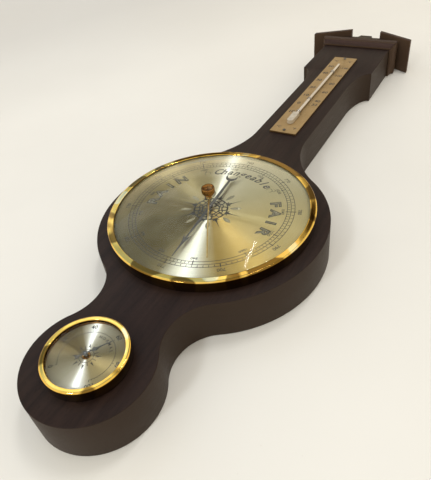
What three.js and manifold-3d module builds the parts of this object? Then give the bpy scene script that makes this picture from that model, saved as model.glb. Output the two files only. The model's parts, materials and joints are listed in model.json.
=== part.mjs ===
// A banjo-shaped wall barometer, lying on its back: an aneroid barometer in the round body, a hygrometer
// in the foot, a thermometer on the neck and a broken pediment over a cornice at the top.
// Millimetres. +Z points out of the dials, +Y towards the pediment. The origin is on the plane of the
// case's back, under the middle of the whole length.

import * as THREE from "three";
import { mergeVertices } from "three/addons/utils/BufferGeometryUtils.js";
import Module from "manifold-3d";

const wasm = await Module();
wasm.setup();

const { PI, cos, sin, sqrt } = Math;
const radians = THREE.MathUtils.degToRad;

// ---- Driving dimensions ----
const GAP = 0.3; // clearance between two pieces that touch or pass

const THICKNESS = 31; // of the case board
const BODY_RADIUS = 87.4; // round body behind the barometer
const FOOT_RADIUS = 40.9; // round foot behind the hygrometer
const FOOT_DISTANCE = 142.1; // barometer centre to hygrometer centre
const WAIST_RADIUS = 32.1; // hollow between body and foot
const NECK_HALF = 24.8;
const NECK_FILLET = 72.9; // hollow between body and neck
const BLOCK_HALF = 38.4; // half the width of the block under the pediment
const BLOCK_START = 277.5; // where the shoulder reaches the block, above the barometer centre
const SHOULDER_RISE = 39.5;

const ROOF_OUTER = { x: 58.1, y: 365.8 }; // top of a roof board at its eaves
const ROOF_INNER = { x: 17.4, y: 387.5 }; // top of a roof board at the break
const ROOF_THICKNESS = 5.3; // measured straight down
const ROOF_OVERHANG = 6.6; // past the front of the case
const TAB_HALF = 7; // flat tab in the middle of the tympanum
const TAB_TOP = 386.3;
const SCOOP_LEVEL = 380.5;
const SCOOP_HALF = 11;
const CORNICE_BOTTOM = 345.7;
const CORNICE_STEP = 2.2; // how far the lower band stands out
const CORNICE_REACH = 5.6; // how far the upper band stands out
const CORNICE_LOWER_BAND = 2.5; // heights of the cornice's parts, from its bottom up
const CORNICE_HOLLOW = 6.8;
const CORNICE_UPPER_BAND = 6.5;
const CORNICE_SLOPE = 2.9;
const CORNICE_CREST = 1.6; // how far the top edge of the slope stands out

const LENGTH_MIDDLE = (ROOF_INNER.y - FOOT_DISTANCE - FOOT_RADIUS) / 2;

const CAN_SCREW = { head: 2.6, headTop: 3, shank: 1.3, tip: -12, pilotDepth: 13 };
const HANGER_SCREW = { head: 2.4, headHeight: 1.2, shank: 1.2, length: 9.5, pilotDepth: 12 };
const NAIL = { head: 1.6, shank: 0.6, hole: 0.9, tip: -8, holeDepth: 9 };

const HANGER = { y: 330, halfWidth: 20, halfHeight: 7, corner: 2, thickness: 1.2, holeRadius: 4.5, screwX: 13.5 };
const HANGER_DEPTH = 1.9; // how far the plate lies below the back of the case
const HANGER_MARGIN = 0.5; // of the pocket around the plate
const HANGER_POCKET_DEPTH = 3.4;
const HANGER_HOOK_DEPTH = 8; // room for the head of the wall hook
const HANGER_HOOK_RADIUS = 6.5;

// The barometer. Heights are above the front of the case.
const BEZEL_RADIUS = 77.5;
const BEZEL_TOP = 9.15;
const BEZEL_OPENING = 72.7;
const BEZEL_WALL = 2.3;
const BEZEL_SHOULDER = { across: 1.6, down: 2.2 }; // the rounding between its wall and its top band
const CAN_RADIUS = 62;
const CAN_WALL = 1;
const CAN_BOTTOM = -29;
const CAN_CORNER = 2;
const CAN_FLANGE = { radius: BEZEL_RADIUS - BEZEL_WALL - GAP, thickness: 0.8 };
const CAN_CLEARANCE = 1; // between the can and the bore in the case
const CAN_SCREW_RADIUS = 68; // circle of the flange screws
const DIAL_RADIUS = 74.3;
const DIAL_HOLE = 3;
const DIAL_TOP = 7;
const DIAL_THICKNESS = 0.8;
const GLASS_RIM_TOP = 8.1;
const GLASS_APEX = 20.6;
const GLASS_THICKNESS = 1.4;
const HAND_HEIGHT = 9.8; // underside of the pressure hand
const HAND_LENGTH = 57.1;
const HAND_BARB = 36.4; // from the hand's axis to its arrowhead
const HAND_CRESCENT = 38; // from the hand's axis to the crescent on its tail
const KNOB_RADIUS = 4.9;
const KNOB_BOTTOM = 21.9;
const KNOB_TOP = 26.9;
const KNOB_TEETH = 24;
const KNURL_DEPTH = 0.25;
const KNOB_SOCKET_DEPTH = 2.5;
const SPINDLE = { foot: 0.8, body: 1.2, shoulder: 1.5 }; // radii, and the height of the shoulder
const SET_HAND = { length: 56.5, width: 1.1, thickness: 0.3, belowGlass: 0.9, hub: 2.3, hubHeight: 0.9 };
const SET_BUSH = { neck: 2.1, flange: 3.6, flangeTop: 3.3, flangeHeight: 0.7 };

// Where the hands stand, in degrees clockwise from the top of their dials.
const HAND_REST = 176.5;
const SET_HAND_REST = 152;
const HYGRO_HAND_REST = 34;

// How far the pressure hand can turn on from there: back to the low end of the scale, on to the high end.
const HAND_FALL = 15;
const HAND_RISE = 310;

// The movement.
const MODULE = 0.6;
const PINION_TEETH = 12;
const WHEEL_TEETH = 96; // of the whole wheel that the sector is cut from
const SECTOR_TEETH = 15;
const ROCKER_RATIO = 24; // turns of the hand for one of the rocker
const ROCKER_ARM = 5; // from the rocker's axis to the capsule's axis
const ROCKER_HEIGHT = -13;
const CONTACT_HEIGHT = 10.5; // from the rocker's axis up to the sector's pin
const CAPSULE = { x: -8, radius: 19, bottom: -25.9, height: 7.5 };
const MAINSPRING = { top: -14.9, thickness: 0.8, width: 14, bend: 30, lowerEnd: 17, freeEnd: -9 };
const BASE_PLATE = { radius: 50, bottom: -27.7, top: -26.2 };
const MOVEMENT_PLATE = { bottom: -8, top: -6.8, left: -45, right: 22, half: 16, corner: 4 };
const BRIDGE = { bottom: 2.2, top: 3.4, left: -46, right: 16, half: 6, corner: 5 };
const PLATE_PILLARS = [[-40, 12], [-40, -12], [18, 0]];
const BRIDGE_PILLARS = [[-42.5, 0], [12.5, 0]];
const PLATE_PILLAR_RADIUS = 2.2;
const BRIDGE_PILLAR_RADIUS = 1.8;
const PIVOT = 0.5; // radius of the movement's fine pivots
const HAIRSPRING = { inner: 2.3, outer: 7.5, turns: 4, strip: 0.3, rise: 0.5, height: 0.8 };
const ADJUSTER = { x: -8, y: 24, head: 3, headHeight: 1.2, shank: 1.2, tip: -1.8, hole: 4 };

// The hygrometer. Heights are above the front of the case.
const HYGRO_BEZEL_RADIUS = 26.3;
const HYGRO_BEZEL_TOP = 8.5;
const HYGRO_BEZEL_WALL = 1.1;
const HYGRO_SHOULDER = { across: 1.3, down: 2 };
const HYGRO_OPENING = 23.2;
const HYGRO_SEAT = 8; // underside of the bezel's lip
const HYGRO_CAN_RADIUS = 22;
const HYGRO_CAN_BOTTOM = -20;
const HYGRO_CAN_WALL = 0.8;
const HYGRO_CAN_CLEARANCE = 0.5;
const HYGRO_FLANGE = { radius: HYGRO_BEZEL_RADIUS - HYGRO_BEZEL_WALL - GAP, thickness: 0.6 };
const HYGRO_DIAL_RADIUS = 24.8;
const HYGRO_DIAL_HOLE = 2;
const HYGRO_DIAL_TOP = 4.65;
const HYGRO_DIAL_THICKNESS = 0.8;
const HYGRO_GLASS = { domeEdge: 23, rimBottom: 6.9, rimTop: 7.7, apex: 10.2, thickness: 1 };
const HYGRO_HAND = { length: 16.7, thickness: 0.3, height: 7.2 };
const HYGRO_BUSH = { neck: 1.7, nut: 2.7, nutTop: 2.4, bottom: -3, top: 5.7 };
const HYGRO_ARBOR = { foot: 1.2, body: 0.7, tip: 0.4, bottom: -12, footTop: -4, bodyTop: 6.4, top: 7.7 };
const HYGRO_COIL = { inner: 1.8, outer: 13.5, turns: 5, strip: 0.5, bottom: -11, height: 5 };
const HYGRO_POST = { x: 15.5, width: 2.5, depth: 4, bottom: -10.5, height: 14 };

// The thermometer. Heights are above the front of the case, distances above the barometer centre.
const PLATE = { bottom: 130.2, top: 308.8, half: 12.8, thickness: 1.6 };
const NAIL_INSET = 4;
const TUBE_RADIUS = 1.45;
const TUBE_BORE = 0.75;
const TUBE = { bottom: 154, top: 285.2, tip: 0.8, closedEnd: 2 };
const BULB = { bottom: 147.6, top: 153.7, radius: 1.55, neck: 1.2 };
const GUARD = { bottom: 145.6, top: 163.6, half: 3, height: 5.9, wall: 0.45, corner: 2 };
const CLIP_PLACES = [168, 196, 263];
const CLIP_WIRE = 0.35;
const LIQUID_LEVEL = 226.3; // 20 degrees Celsius
const LIQUID_RADIUS = 0.45;
const MENISCUS = 0.9; // height of the topmost drop, which moves with the level

// ---- Finishes ----
function finish(color, roughness, metalness, extra = {}) {
  return new THREE.MeshStandardMaterial({ color, roughness, metalness, ...extra });
}
const wood = finish(0x3a2220, 0.45, 0);
const brass = finish(0xd9a53a, 0.15, 1);
const dialMetal = finish(0xc9bd93, 0.3, 1);
const plateMetal = finish(0xb8964e, 0.4, 1);
const blackSteel = finish(0x1a1a1c, 0.4, 0.6);
const steel = finish(0x9a9ca0, 0.35, 1);
const tin = finish(0xb9b9b4, 0.4, 1);
const clearGlass = finish(0xf4faf8, 0.03, 0, { transparent: true, opacity: 0.2 });
const whiteMetal = finish(0xdcd9cf, 0.35, 0.4);
const thermometerLiquid = finish(0x7c7a80, 0.2, 0.8);

// ---- Making solids ----
function solidOf(geometry) {
  const bare = geometry.index ? geometry.toNonIndexed() : geometry.clone();
  bare.deleteAttribute("normal");
  bare.deleteAttribute("uv");
  const merged = mergeVertices(bare, 1e-4);
  const vertProperties = new Float32Array(merged.attributes.position.array);
  const triVerts = new Uint32Array(merged.index.array);
  return new wasm.Manifold(new wasm.Mesh({ numProp: 3, vertProperties, triVerts }));
}

function geometryOf(solid) {
  const { vertProperties, triVerts } = solid.getMesh();
  const geometry = new THREE.BufferGeometry();
  geometry.setAttribute("position", new THREE.BufferAttribute(new Float32Array(vertProperties), 3));
  geometry.setIndex(Array.from(triVerts));
  return geometry;
}

function join(first, ...others) {
  return geometryOf(others.reduce((whole, next) => whole.add(solidOf(next)), solidOf(first)));
}

function cut(body, ...tools) {
  return geometryOf(tools.reduce((whole, tool) => whole.subtract(solidOf(tool)), solidOf(body)));
}

// A solid of revolution about Z. The profile's [radius, height] points run up the outside.
function turned(profile, segments = 32) {
  const points = profile.map(([radius, height]) => new THREE.Vector2(radius, height));
  return new THREE.LatheGeometry(points, segments).rotateX(PI / 2);
}

function rod(radius, bottom, top, segments = 20) {
  return turned([[0, bottom], [radius, bottom], [radius, top], [0, top]], segments);
}

function ring(inner, outer, bottom, top, segments = 32) {
  return turned([[inner, bottom], [outer, bottom], [outer, top], [inner, top], [inner, bottom]], segments);
}

function box(width, depth, height) {
  return new THREE.BoxGeometry(width, depth, height);
}

// A flat outline in X and Y given a thickness, its underside at the height called bottom.
function slab(shape, bottom, thickness, curveSegments = 12) {
  const settings = { depth: thickness, bevelEnabled: false, curveSegments };
  return new THREE.ExtrudeGeometry(shape, settings).translate(0, 0, bottom);
}

function polygon(points) {
  return new THREE.Shape(points.map(([x, y]) => new THREE.Vector2(x, y)));
}

function circle(radius, x = 0, y = 0) {
  return new THREE.Shape().absarc(x, y, radius, 0, 2 * PI, false);
}

function withHoles(shape, ...holes) {
  shape.holes.push(...holes);
  return shape;
}

function roundedRectangle(left, right, bottom, top, radius) {
  const shape = new THREE.Shape();
  shape.absarc(right - radius, bottom + radius, radius, -PI / 2, 0, false);
  shape.absarc(right - radius, top - radius, radius, 0, PI / 2, false);
  shape.absarc(left + radius, top - radius, radius, PI / 2, PI, false);
  shape.absarc(left + radius, bottom + radius, radius, PI, 1.5 * PI, false);
  shape.closePath();
  return shape;
}

// A bar between two end sections. Each end is a function from a profile point to its place in space.
function bar(profile, from, to) {
  const corners = profile.length;
  const positions = [...profile.map(from), ...profile.map(to)].flatMap((point) => point.toArray());
  const flat = profile.map(([across, along]) => new THREE.Vector2(across, along));
  const caps = THREE.ShapeUtils.triangulateShape(flat, []);
  const faces = [];
  for (const [a, b, c] of caps) {
    faces.push(a, b, c, a + corners, c + corners, b + corners);
  }
  for (let i = 0; i < corners; i++) {
    const next = (i + 1) % corners;
    faces.push(i, next + corners, next, i, i + corners, next + corners);
  }
  const geometry = new THREE.BufferGeometry();
  geometry.setAttribute("position", new THREE.Float32BufferAttribute(positions, 3));
  geometry.setIndex(faces);
  return geometry;
}

function mirrored(geometry) {
  const other = geometry.clone().scale(-1, 1, 1);
  const faces = other.index ?? new THREE.BufferAttribute(
    Uint32Array.from({ length: other.attributes.position.count }, (_, i) => i), 1);
  const turnedFaces = Array.from(faces.array);
  for (let i = 0; i < turnedFaces.length; i += 3) {
    [turnedFaces[i + 1], turnedFaces[i + 2]] = [turnedFaces[i + 2], turnedFaces[i + 1]];
  }
  other.setIndex(turnedFaces);
  return other;
}

const TURN_STEPS = 14;

// A flat spiral strip standing on edge, from the inner radius to the outer one.
function spiralStrip({ inner, outer, turns, strip, height }, bottom) {
  const steps = turns * TURN_STEPS;
  const shape = new THREE.Shape();
  const at = (step, side) => {
    const angle = (step / TURN_STEPS) * 2 * PI;
    const radius = inner + ((outer - inner) * step) / steps + (side * strip) / 2;
    return [radius * cos(angle), radius * sin(angle)];
  };
  shape.moveTo(...at(0, 1));
  for (let step = 1; step <= steps; step++) {
    shape.lineTo(...at(step, 1));
  }
  for (let step = steps; step >= 0; step--) {
    shape.lineTo(...at(step, -1));
  }
  shape.closePath();
  return slab(shape, bottom, height);
}

// A countersunk-style screw: head between the two heights, shank below down to its tip.
function slottedScrew(headRadius, headBottom, headTop, shankRadius, tip) {
  const blank = turned([
    [0, tip],
    [shankRadius, tip + shankRadius],
    [shankRadius, headBottom],
    [headRadius, headBottom],
    [headRadius * 0.8, headTop],
    [0, headTop],
  ], 12);
  const slot = box(headRadius * 3, headRadius * 0.35, 1).translate(0, 0, headTop);
  return cut(blank, slot);
}

// ---- The object ----
const group = new THREE.Group();

// A nested group whose own origin is on the front of the case, at a distance above the barometer centre.
function onCaseFront(distance) {
  const place = new THREE.Group();
  place.position.set(0, distance - LENGTH_MIDDLE, THICKNESS);
  group.add(place);
  return place;
}
const barometer = onCaseFront(0);
const hygrometer = onCaseFront(-FOOT_DISTANCE);

function add(parent, name, geometry, material) {
  const mesh = new THREE.Mesh(geometry, material);
  mesh.name = name;
  parent.add(mesh);
  return mesh;
}

// ---- Case ----
function caseOutline() {
  const bodyToWaist = BODY_RADIUS + WAIST_RADIUS;
  const footToWaist = FOOT_RADIUS + WAIST_RADIUS;
  const waistY = -(bodyToWaist ** 2 - footToWaist ** 2 + FOOT_DISTANCE ** 2) / (2 * FOOT_DISTANCE);
  const waistX = sqrt(bodyToWaist ** 2 - waistY ** 2);
  const filletX = NECK_HALF + NECK_FILLET;
  const filletY = sqrt((BODY_RADIUS + NECK_FILLET) ** 2 - filletX ** 2);
  const footEnd = Math.atan2(waistY + FOOT_DISTANCE, waistX);
  const bodyStart = Math.atan2(waistY, waistX);
  const bodyEnd = Math.atan2(filletY, filletX);
  const roofSlope = (ROOF_INNER.y - ROOF_OUTER.y) / (ROOF_OUTER.x - ROOF_INNER.x);
  const roofUnderside = (x) => ROOF_INNER.y - roofSlope * (x - ROOF_INNER.x) - ROOF_THICKNESS - GAP;
  const shoulder = BLOCK_HALF - NECK_HALF;
  const shoulderStart = BLOCK_START - SHOULDER_RISE;

  const outline = new THREE.Shape();
  outline.absarc(0, -FOOT_DISTANCE, FOOT_RADIUS, -PI / 2, footEnd, false);
  outline.absarc(waistX, waistY, WAIST_RADIUS, footEnd + PI, bodyStart + PI, true);
  outline.absarc(0, 0, BODY_RADIUS, bodyStart, bodyEnd, false);
  outline.absarc(filletX, filletY, NECK_FILLET, bodyEnd + PI, PI, true);
  outline.absellipse(BLOCK_HALF, shoulderStart, shoulder, SHOULDER_RISE, PI, PI / 2, true);
  outline.lineTo(BLOCK_HALF, roofUnderside(BLOCK_HALF));
  outline.lineTo(ROOF_INNER.x, roofUnderside(ROOF_INNER.x));
  outline.lineTo(ROOF_INNER.x, SCOOP_LEVEL);
  outline.lineTo(SCOOP_HALF, SCOOP_LEVEL);
  outline.quadraticCurveTo(TAB_HALF + 1, SCOOP_LEVEL + 1, TAB_HALF, TAB_TOP);
  outline.lineTo(-TAB_HALF, TAB_TOP);
  outline.quadraticCurveTo(-TAB_HALF - 1, SCOOP_LEVEL + 1, -SCOOP_HALF, SCOOP_LEVEL);
  outline.lineTo(-ROOF_INNER.x, SCOOP_LEVEL);
  outline.lineTo(-ROOF_INNER.x, roofUnderside(ROOF_INNER.x));
  outline.lineTo(-BLOCK_HALF, roofUnderside(BLOCK_HALF));
  outline.lineTo(-BLOCK_HALF, BLOCK_START);
  outline.absellipse(-BLOCK_HALF, shoulderStart, shoulder, SHOULDER_RISE, PI / 2, 0, true);
  outline.absarc(-filletX, filletY, NECK_FILLET, 0, -bodyEnd, true);
  outline.absarc(0, 0, BODY_RADIUS, PI - bodyEnd, PI - bodyStart, false);
  outline.absarc(-waistX, waistY, WAIST_RADIUS, -bodyStart, -footEnd, true);
  outline.absarc(0, -FOOT_DISTANCE, FOOT_RADIUS, PI - footEnd, 1.5 * PI, false);
  return outline;
}

function canScrewPlaces() {
  return [90, 210, 330].map((angle) => [
    CAN_SCREW_RADIUS * cos(radians(angle)),
    CAN_SCREW_RADIUS * sin(radians(angle)),
  ]);
}

function nailPlaces() {
  return [PLATE.top - NAIL_INSET, PLATE.bottom + NAIL_INSET];
}

// The board is one thick piece of wood, bored through for the two instruments and routed at the back
// for the hanger.
function caseBoard() {
  const outline = withHoles(
    caseOutline(),
    circle(CAN_RADIUS + CAN_CLEARANCE),
    circle(HYGRO_CAN_RADIUS + HYGRO_CAN_CLEARANCE, 0, -FOOT_DISTANCE),
  );
  const pilotHoles = canScrewPlaces().map(([x, y]) =>
    rod(CAN_SCREW.shank + GAP, -CAN_SCREW.pilotDepth, 1, 12).translate(x, y, 0));
  const nailHoles = nailPlaces().map((y) => rod(NAIL.hole, -NAIL.holeDepth, 1, 12).translate(0, y, 0));
  const halfWidth = HANGER.halfWidth + HANGER_MARGIN;
  const halfHeight = HANGER.halfHeight + HANGER_MARGIN;
  const pocket = roundedRectangle(
    -halfWidth, halfWidth, HANGER.y - halfHeight, HANGER.y + halfHeight, HANGER.corner);
  const hangerScrewHoles = [-1, 1].map((side) =>
    rod(HANGER_SCREW.shank + GAP, 0, HANGER_SCREW.pilotDepth, 12)
      .translate(side * HANGER.screwX, HANGER.y, -THICKNESS));
  return cut(
    slab(outline, -THICKNESS, THICKNESS, 9),
    ...pilotHoles,
    ...nailHoles,
    slab(pocket, -THICKNESS - 1, 1 + HANGER_POCKET_DEPTH, 3),
    rod(HANGER_HOOK_RADIUS, -1, HANGER_HOOK_DEPTH, 24).translate(0, HANGER.y, -THICKNESS),
    ...hangerScrewHoles,
  );
}

// The cornice's section: how far out it stands, and how far up the case. It runs from a thin lower
// band through a hollow to the broad upper band, and slopes back on top.
function corniceProfile() {
  const hollowFoot = CORNICE_BOTTOM + CORNICE_LOWER_BAND;
  const hollowTop = hollowFoot + CORNICE_HOLLOW;
  const slopeFoot = hollowTop + CORNICE_UPPER_BAND;
  const steps = 5;
  const hollow = Array.from({ length: steps }, (_, i) => {
    const angle = ((i + 1) / steps) * (PI / 2);
    const out = (CORNICE_REACH - CORNICE_STEP) * (1 - cos(angle));
    return [CORNICE_STEP + out, hollowFoot + CORNICE_HOLLOW * sin(angle)];
  });
  return [
    [GAP, CORNICE_BOTTOM],
    [CORNICE_STEP, CORNICE_BOTTOM],
    [CORNICE_STEP, hollowFoot],
    ...hollow,
    [CORNICE_REACH, slopeFoot],
    [CORNICE_CREST, slopeFoot + CORNICE_SLOPE],
    [GAP, slopeFoot + CORNICE_SLOPE],
  ];
}

function addCornice() {
  const mitre = GAP / 2;
  const corner = (side, inset) => ([out, up]) =>
    new THREE.Vector3(side * (BLOCK_HALF + out - inset), up, out);
  const front = bar(corniceProfile(), corner(-1, mitre), corner(1, mitre));
  const backEnd = ([out, up]) => new THREE.Vector3(BLOCK_HALF + out, up, -THICKNESS);
  const frontEnd = ([out, up]) => new THREE.Vector3(BLOCK_HALF + out, up, out - mitre * 2);
  const right = bar(corniceProfile(), frontEnd, backEnd);
  add(barometer, "cornice_front", front, wood);
  add(barometer, "cornice_return_right", right, wood);
  add(barometer, "cornice_return_left", mirrored(right), wood);
}

function addRoofBoards() {
  const board = polygon([
    [ROOF_OUTER.x, ROOF_OUTER.y - ROOF_THICKNESS],
    [ROOF_OUTER.x, ROOF_OUTER.y],
    [ROOF_INNER.x, ROOF_INNER.y],
    [ROOF_INNER.x, ROOF_INNER.y - ROOF_THICKNESS],
  ]);
  const right = slab(board, -THICKNESS, THICKNESS + ROOF_OVERHANG);
  add(barometer, "roof_board_right", right, wood);
  add(barometer, "roof_board_left", mirrored(right), wood);
}

function addHanger() {
  const outline = withHoles(
    roundedRectangle(
      -HANGER.halfWidth, HANGER.halfWidth,
      HANGER.y - HANGER.halfHeight, HANGER.y + HANGER.halfHeight, HANGER.corner),
    circle(HANGER.holeRadius, 0, HANGER.y),
    circle(HANGER_SCREW.shank + GAP, HANGER.screwX, HANGER.y),
    circle(HANGER_SCREW.shank + GAP, -HANGER.screwX, HANGER.y),
  );
  const plate = slab(outline, -THICKNESS + HANGER_DEPTH, HANGER.thickness, 6);
  add(barometer, "hanger_plate", plate, plateMetal);
  [-1, 1].forEach((side, i) => {
    const { head, headHeight, shank, length } = HANGER_SCREW;
    const screw = slottedScrew(head, 0, headHeight, shank, -length).rotateX(PI);
    screw.translate(side * HANGER.screwX, HANGER.y, -THICKNESS + HANGER_DEPTH - GAP);
    add(barometer, `hanger_screw_${i + 1}`, screw, steel);
  });
}

// ---- Barometer: housing ----
// The can's wall runs up past the flange that lies on the case, and carries the dial on its edge.
function mainCan() {
  const inner = CAN_RADIUS - CAN_WALL;
  const rim = DIAL_TOP - DIAL_THICKNESS - GAP;
  const body = turned([
    [0, CAN_BOTTOM],
    [CAN_RADIUS - CAN_CORNER, CAN_BOTTOM],
    [CAN_RADIUS, CAN_BOTTOM + CAN_CORNER],
    [CAN_RADIUS, GAP],
    [CAN_FLANGE.radius, GAP],
    [CAN_FLANGE.radius, GAP + CAN_FLANGE.thickness],
    [CAN_RADIUS, GAP + CAN_FLANGE.thickness],
    [CAN_RADIUS, rim],
    [inner, rim],
    [inner, CAN_BOTTOM + CAN_CORNER],
    [inner - CAN_CORNER / 2, CAN_BOTTOM + CAN_WALL],
    [0, CAN_BOTTOM + CAN_WALL],
  ], 40);
  const screwHoles = canScrewPlaces().map(([x, y]) =>
    rod(CAN_SCREW.shank + GAP, -1, 2, 12).translate(x, y, 0));
  const adjusterHole = rod(ADJUSTER.hole, CAN_BOTTOM - 1, CAN_BOTTOM + CAN_WALL + 1)
    .translate(ADJUSTER.x, ADJUSTER.y, 0);
  return cut(body, adjusterHole, ...screwHoles);
}

function addCanScrews() {
  canScrewPlaces().forEach(([x, y], i) => {
    const seat = GAP * 2 + CAN_FLANGE.thickness;
    const screw = slottedScrew(CAN_SCREW.head, seat, CAN_SCREW.headTop, CAN_SCREW.shank, CAN_SCREW.tip);
    add(barometer, `can_screw_${i + 1}`, screw.translate(x, y, 0), steel);
  });
}

// Spun brass ring: an upright wall that rounds over into a broad polished top band and a thin lip.
// It holds the glass down by the lip's underside, called the seat.
function bezel({ radius, top, wall, shoulder, opening, seat, segments }) {
  const steps = 3;
  const lip = 0.3;
  const rounding = Array.from({ length: steps + 1 }, (_, step) => {
    const angle = (step / steps) * (PI / 2);
    return [
      radius - shoulder.across * (1 - cos(angle)),
      top - shoulder.down * (1 - sin(angle)),
    ];
  });
  return turned([
    [radius - wall, GAP],
    [radius, GAP],
    ...rounding,
    [opening + lip, top],
    [opening, top - lip],
    [opening, seat],
    [radius - wall, seat],
    [radius - wall, GAP],
  ], segments);
}

function mainBezel() {
  return bezel({
    radius: BEZEL_RADIUS,
    top: BEZEL_TOP,
    wall: BEZEL_WALL,
    shoulder: BEZEL_SHOULDER,
    opening: BEZEL_OPENING,
    seat: GLASS_RIM_TOP + GAP,
    segments: 48,
  });
}

function mainDial() {
  const plate = withHoles(circle(DIAL_RADIUS), circle(DIAL_HOLE));
  return slab(plate, DIAL_TOP - DIAL_THICKNESS, DIAL_THICKNESS, 24);
}

// Height of a domed glass's outer face, from the apex down to the edge of the dome.
function domeHeight(radius, edgeRadius, edge, apex) {
  const rise = apex - edge;
  const sphere = (edgeRadius ** 2 + rise ** 2) / (2 * rise);
  return apex - sphere + sqrt(sphere ** 2 - radius ** 2);
}

function domedGlass({ outer, domeEdge, rimBottom, rimTop, apex, thickness, hole, steps, segments }) {
  const dome = (lower) => Array.from({ length: steps + 1 }, (_, step) => {
    const radius = domeEdge + ((hole - domeEdge) * step) / steps;
    return [radius, domeHeight(radius, domeEdge, rimTop, apex) - lower];
  });
  const top = dome(0);
  const underside = dome(thickness).slice(1).reverse();
  const profile = [...underside, [domeEdge - 0.6, rimBottom], [outer, rimBottom], [outer, rimTop], ...top];
  if (hole > 0) {
    profile.push(profile[0]);
  }
  return turned(profile, segments);
}

function mainGlass() {
  return domedGlass({
    outer: BEZEL_RADIUS - BEZEL_WALL - 2 * GAP,
    domeEdge: BEZEL_OPENING - GAP,
    rimBottom: DIAL_TOP + GAP,
    rimTop: GLASS_RIM_TOP,
    apex: GLASS_APEX,
    thickness: GLASS_THICKNESS,
    hole: SET_BUSH.neck + GAP,
    steps: 6,
    segments: 36,
  });
}

// ---- Barometer: hands ----
// A long needle with an arrowhead part way out and an open crescent on its tail, pointing up the dial.
function mainHand() {
  const barb = HAND_BARB;
  const crescent = HAND_CRESCENT;
  const needle = polygon([
    [-0.9, -crescent + 4.2],
    [0.9, -crescent + 4.2],
    [1.3, 0],
    [0.6, barb - 3],
    [0.7, barb + 1.6],
    [2.7, barb - 1.2],
    [0.75, barb + 7.5],
    [0.25, HAND_LENGTH],
    [-0.25, HAND_LENGTH],
    [-0.75, barb + 7.5],
    [-2.7, barb - 1.2],
    [-0.7, barb + 1.6],
    [-0.6, barb - 3],
    [-1.3, 0],
  ]);
  const thickness = 0.4;
  const moon = cut(
    slab(circle(4.6, 0, -crescent), HAND_HEIGHT, thickness, 24),
    slab(circle(3.9, 0, -crescent - 1.9), HAND_HEIGHT - 1, thickness + 2, 20),
  );
  const hub = rod(2.2, HAND_HEIGHT - 0.7, HAND_HEIGHT + 0.7);
  const bore = rod(0.6 + GAP, HAND_HEIGHT - 2, HAND_HEIGHT + 2);
  return cut(join(slab(needle, HAND_HEIGHT, thickness), moon, hub), bore);
}

// The marker hand is a narrow strip bent to follow the underside of the glass, riveted to its spindle.
function setHand() {
  const { length, width, thickness, belowGlass } = SET_HAND;
  const steps = 8;
  const height = (radius) =>
    domeHeight(radius, BEZEL_OPENING - GAP, GLASS_RIM_TOP, GLASS_APEX) - GLASS_THICKNESS - belowGlass;
  const curve = (lower) => Array.from({ length: steps + 1 }, (_, step) => {
    const radius = (length * step) / steps;
    return new THREE.Vector2(radius, height(radius) - lower);
  });
  const section = new THREE.Shape([...curve(thickness), ...curve(0).reverse()]);
  const blade = new THREE.ExtrudeGeometry(section, { depth: width, bevelEnabled: false });
  blade.translate(0, 0, -width / 2).rotateX(PI / 2).rotateZ(PI / 2);
  const hub = rod(SET_HAND.hub, height(0) - SET_HAND.hubHeight, height(0));
  const bore = rod(SPINDLE.foot + GAP, height(0) - 2, height(0) + 2, 16);
  return cut(join(blade, hub), bore);
}

function setSpindle() {
  const top = KNOB_BOTTOM + KNOB_SOCKET_DEPTH - GAP;
  const foot = GLASS_APEX - GLASS_THICKNESS - SET_HAND.belowGlass - SET_HAND.hubHeight - 0.4;
  const shoulder = foot + SPINDLE.shoulder;
  return turned([
    [0, foot],
    [SPINDLE.foot, foot],
    [SPINDLE.foot, shoulder],
    [SPINDLE.body, shoulder],
    [SPINDLE.body, top],
    [0, top],
  ], 16);
}

// The knob has a cupped top and a coarse straight knurl.
function setKnob() {
  const knurl = new THREE.Shape(Array.from({ length: KNOB_TEETH * 2 }, (_, i) => {
    const radius = KNOB_RADIUS - (i % 2) * KNURL_DEPTH;
    const angle = (i / KNOB_TEETH) * PI;
    return new THREE.Vector2(radius * cos(angle), radius * sin(angle));
  }));
  const rim = KNOB_RADIUS - 1.2;
  const cup = turned([
    [0, KNOB_TOP - 1.5],
    [rim - 0.8, KNOB_TOP - 1.2],
    [rim, KNOB_TOP],
    [rim, KNOB_TOP + 1],
    [0, KNOB_TOP + 1],
  ], 24);
  const socket = rod(SPINDLE.body + GAP, KNOB_BOTTOM - 1, KNOB_BOTTOM + KNOB_SOCKET_DEPTH, 16);
  return cut(slab(knurl, KNOB_BOTTOM, KNOB_TOP - KNOB_BOTTOM), cup, socket);
}

// The bush is fixed through the glass and carries the spindle.
function setBush() {
  const { neck, flange, flangeTop, flangeHeight } = SET_BUSH;
  const bore = SPINDLE.body + GAP;
  const seat = GLASS_APEX + GAP;
  const bottom = GLASS_APEX - GLASS_THICKNESS - 2 * GAP;
  return turned([
    [bore, bottom],
    [neck, bottom],
    [neck, seat],
    [flange, seat],
    [flangeTop, seat + flangeHeight],
    [bore, seat + flangeHeight],
    [bore, bottom],
  ], 24);
}

// ---- Barometer: movement ----
// It is laid out with the hand in the middle of its travel. Each moving piece is then turned to where
// the hand's rest position puts it.
const midTurn = radians((HAND_RISE - HAND_FALL) / 2);
const sectorRatio = WHEEL_TEETH / PINION_TEETH;
const rockerTilt = -midTurn / ROCKER_RATIO;
const capsuleRise = (ROCKER_ARM * midTurn) / ROCKER_RATIO;
const sectorX = (-MODULE * (PINION_TEETH + WHEEL_TEETH)) / 2;
const pinRadius = 0.5;
const pinDistance = (CONTACT_HEIGHT * sectorRatio) / ROCKER_RATIO;
const fingerHalf = 0.5;
const rockerY = pinRadius + fingerHalf + 0.25;
const capsuleY = rockerY - ROCKER_ARM;
const pinX = sectorX - pinDistance;

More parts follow.
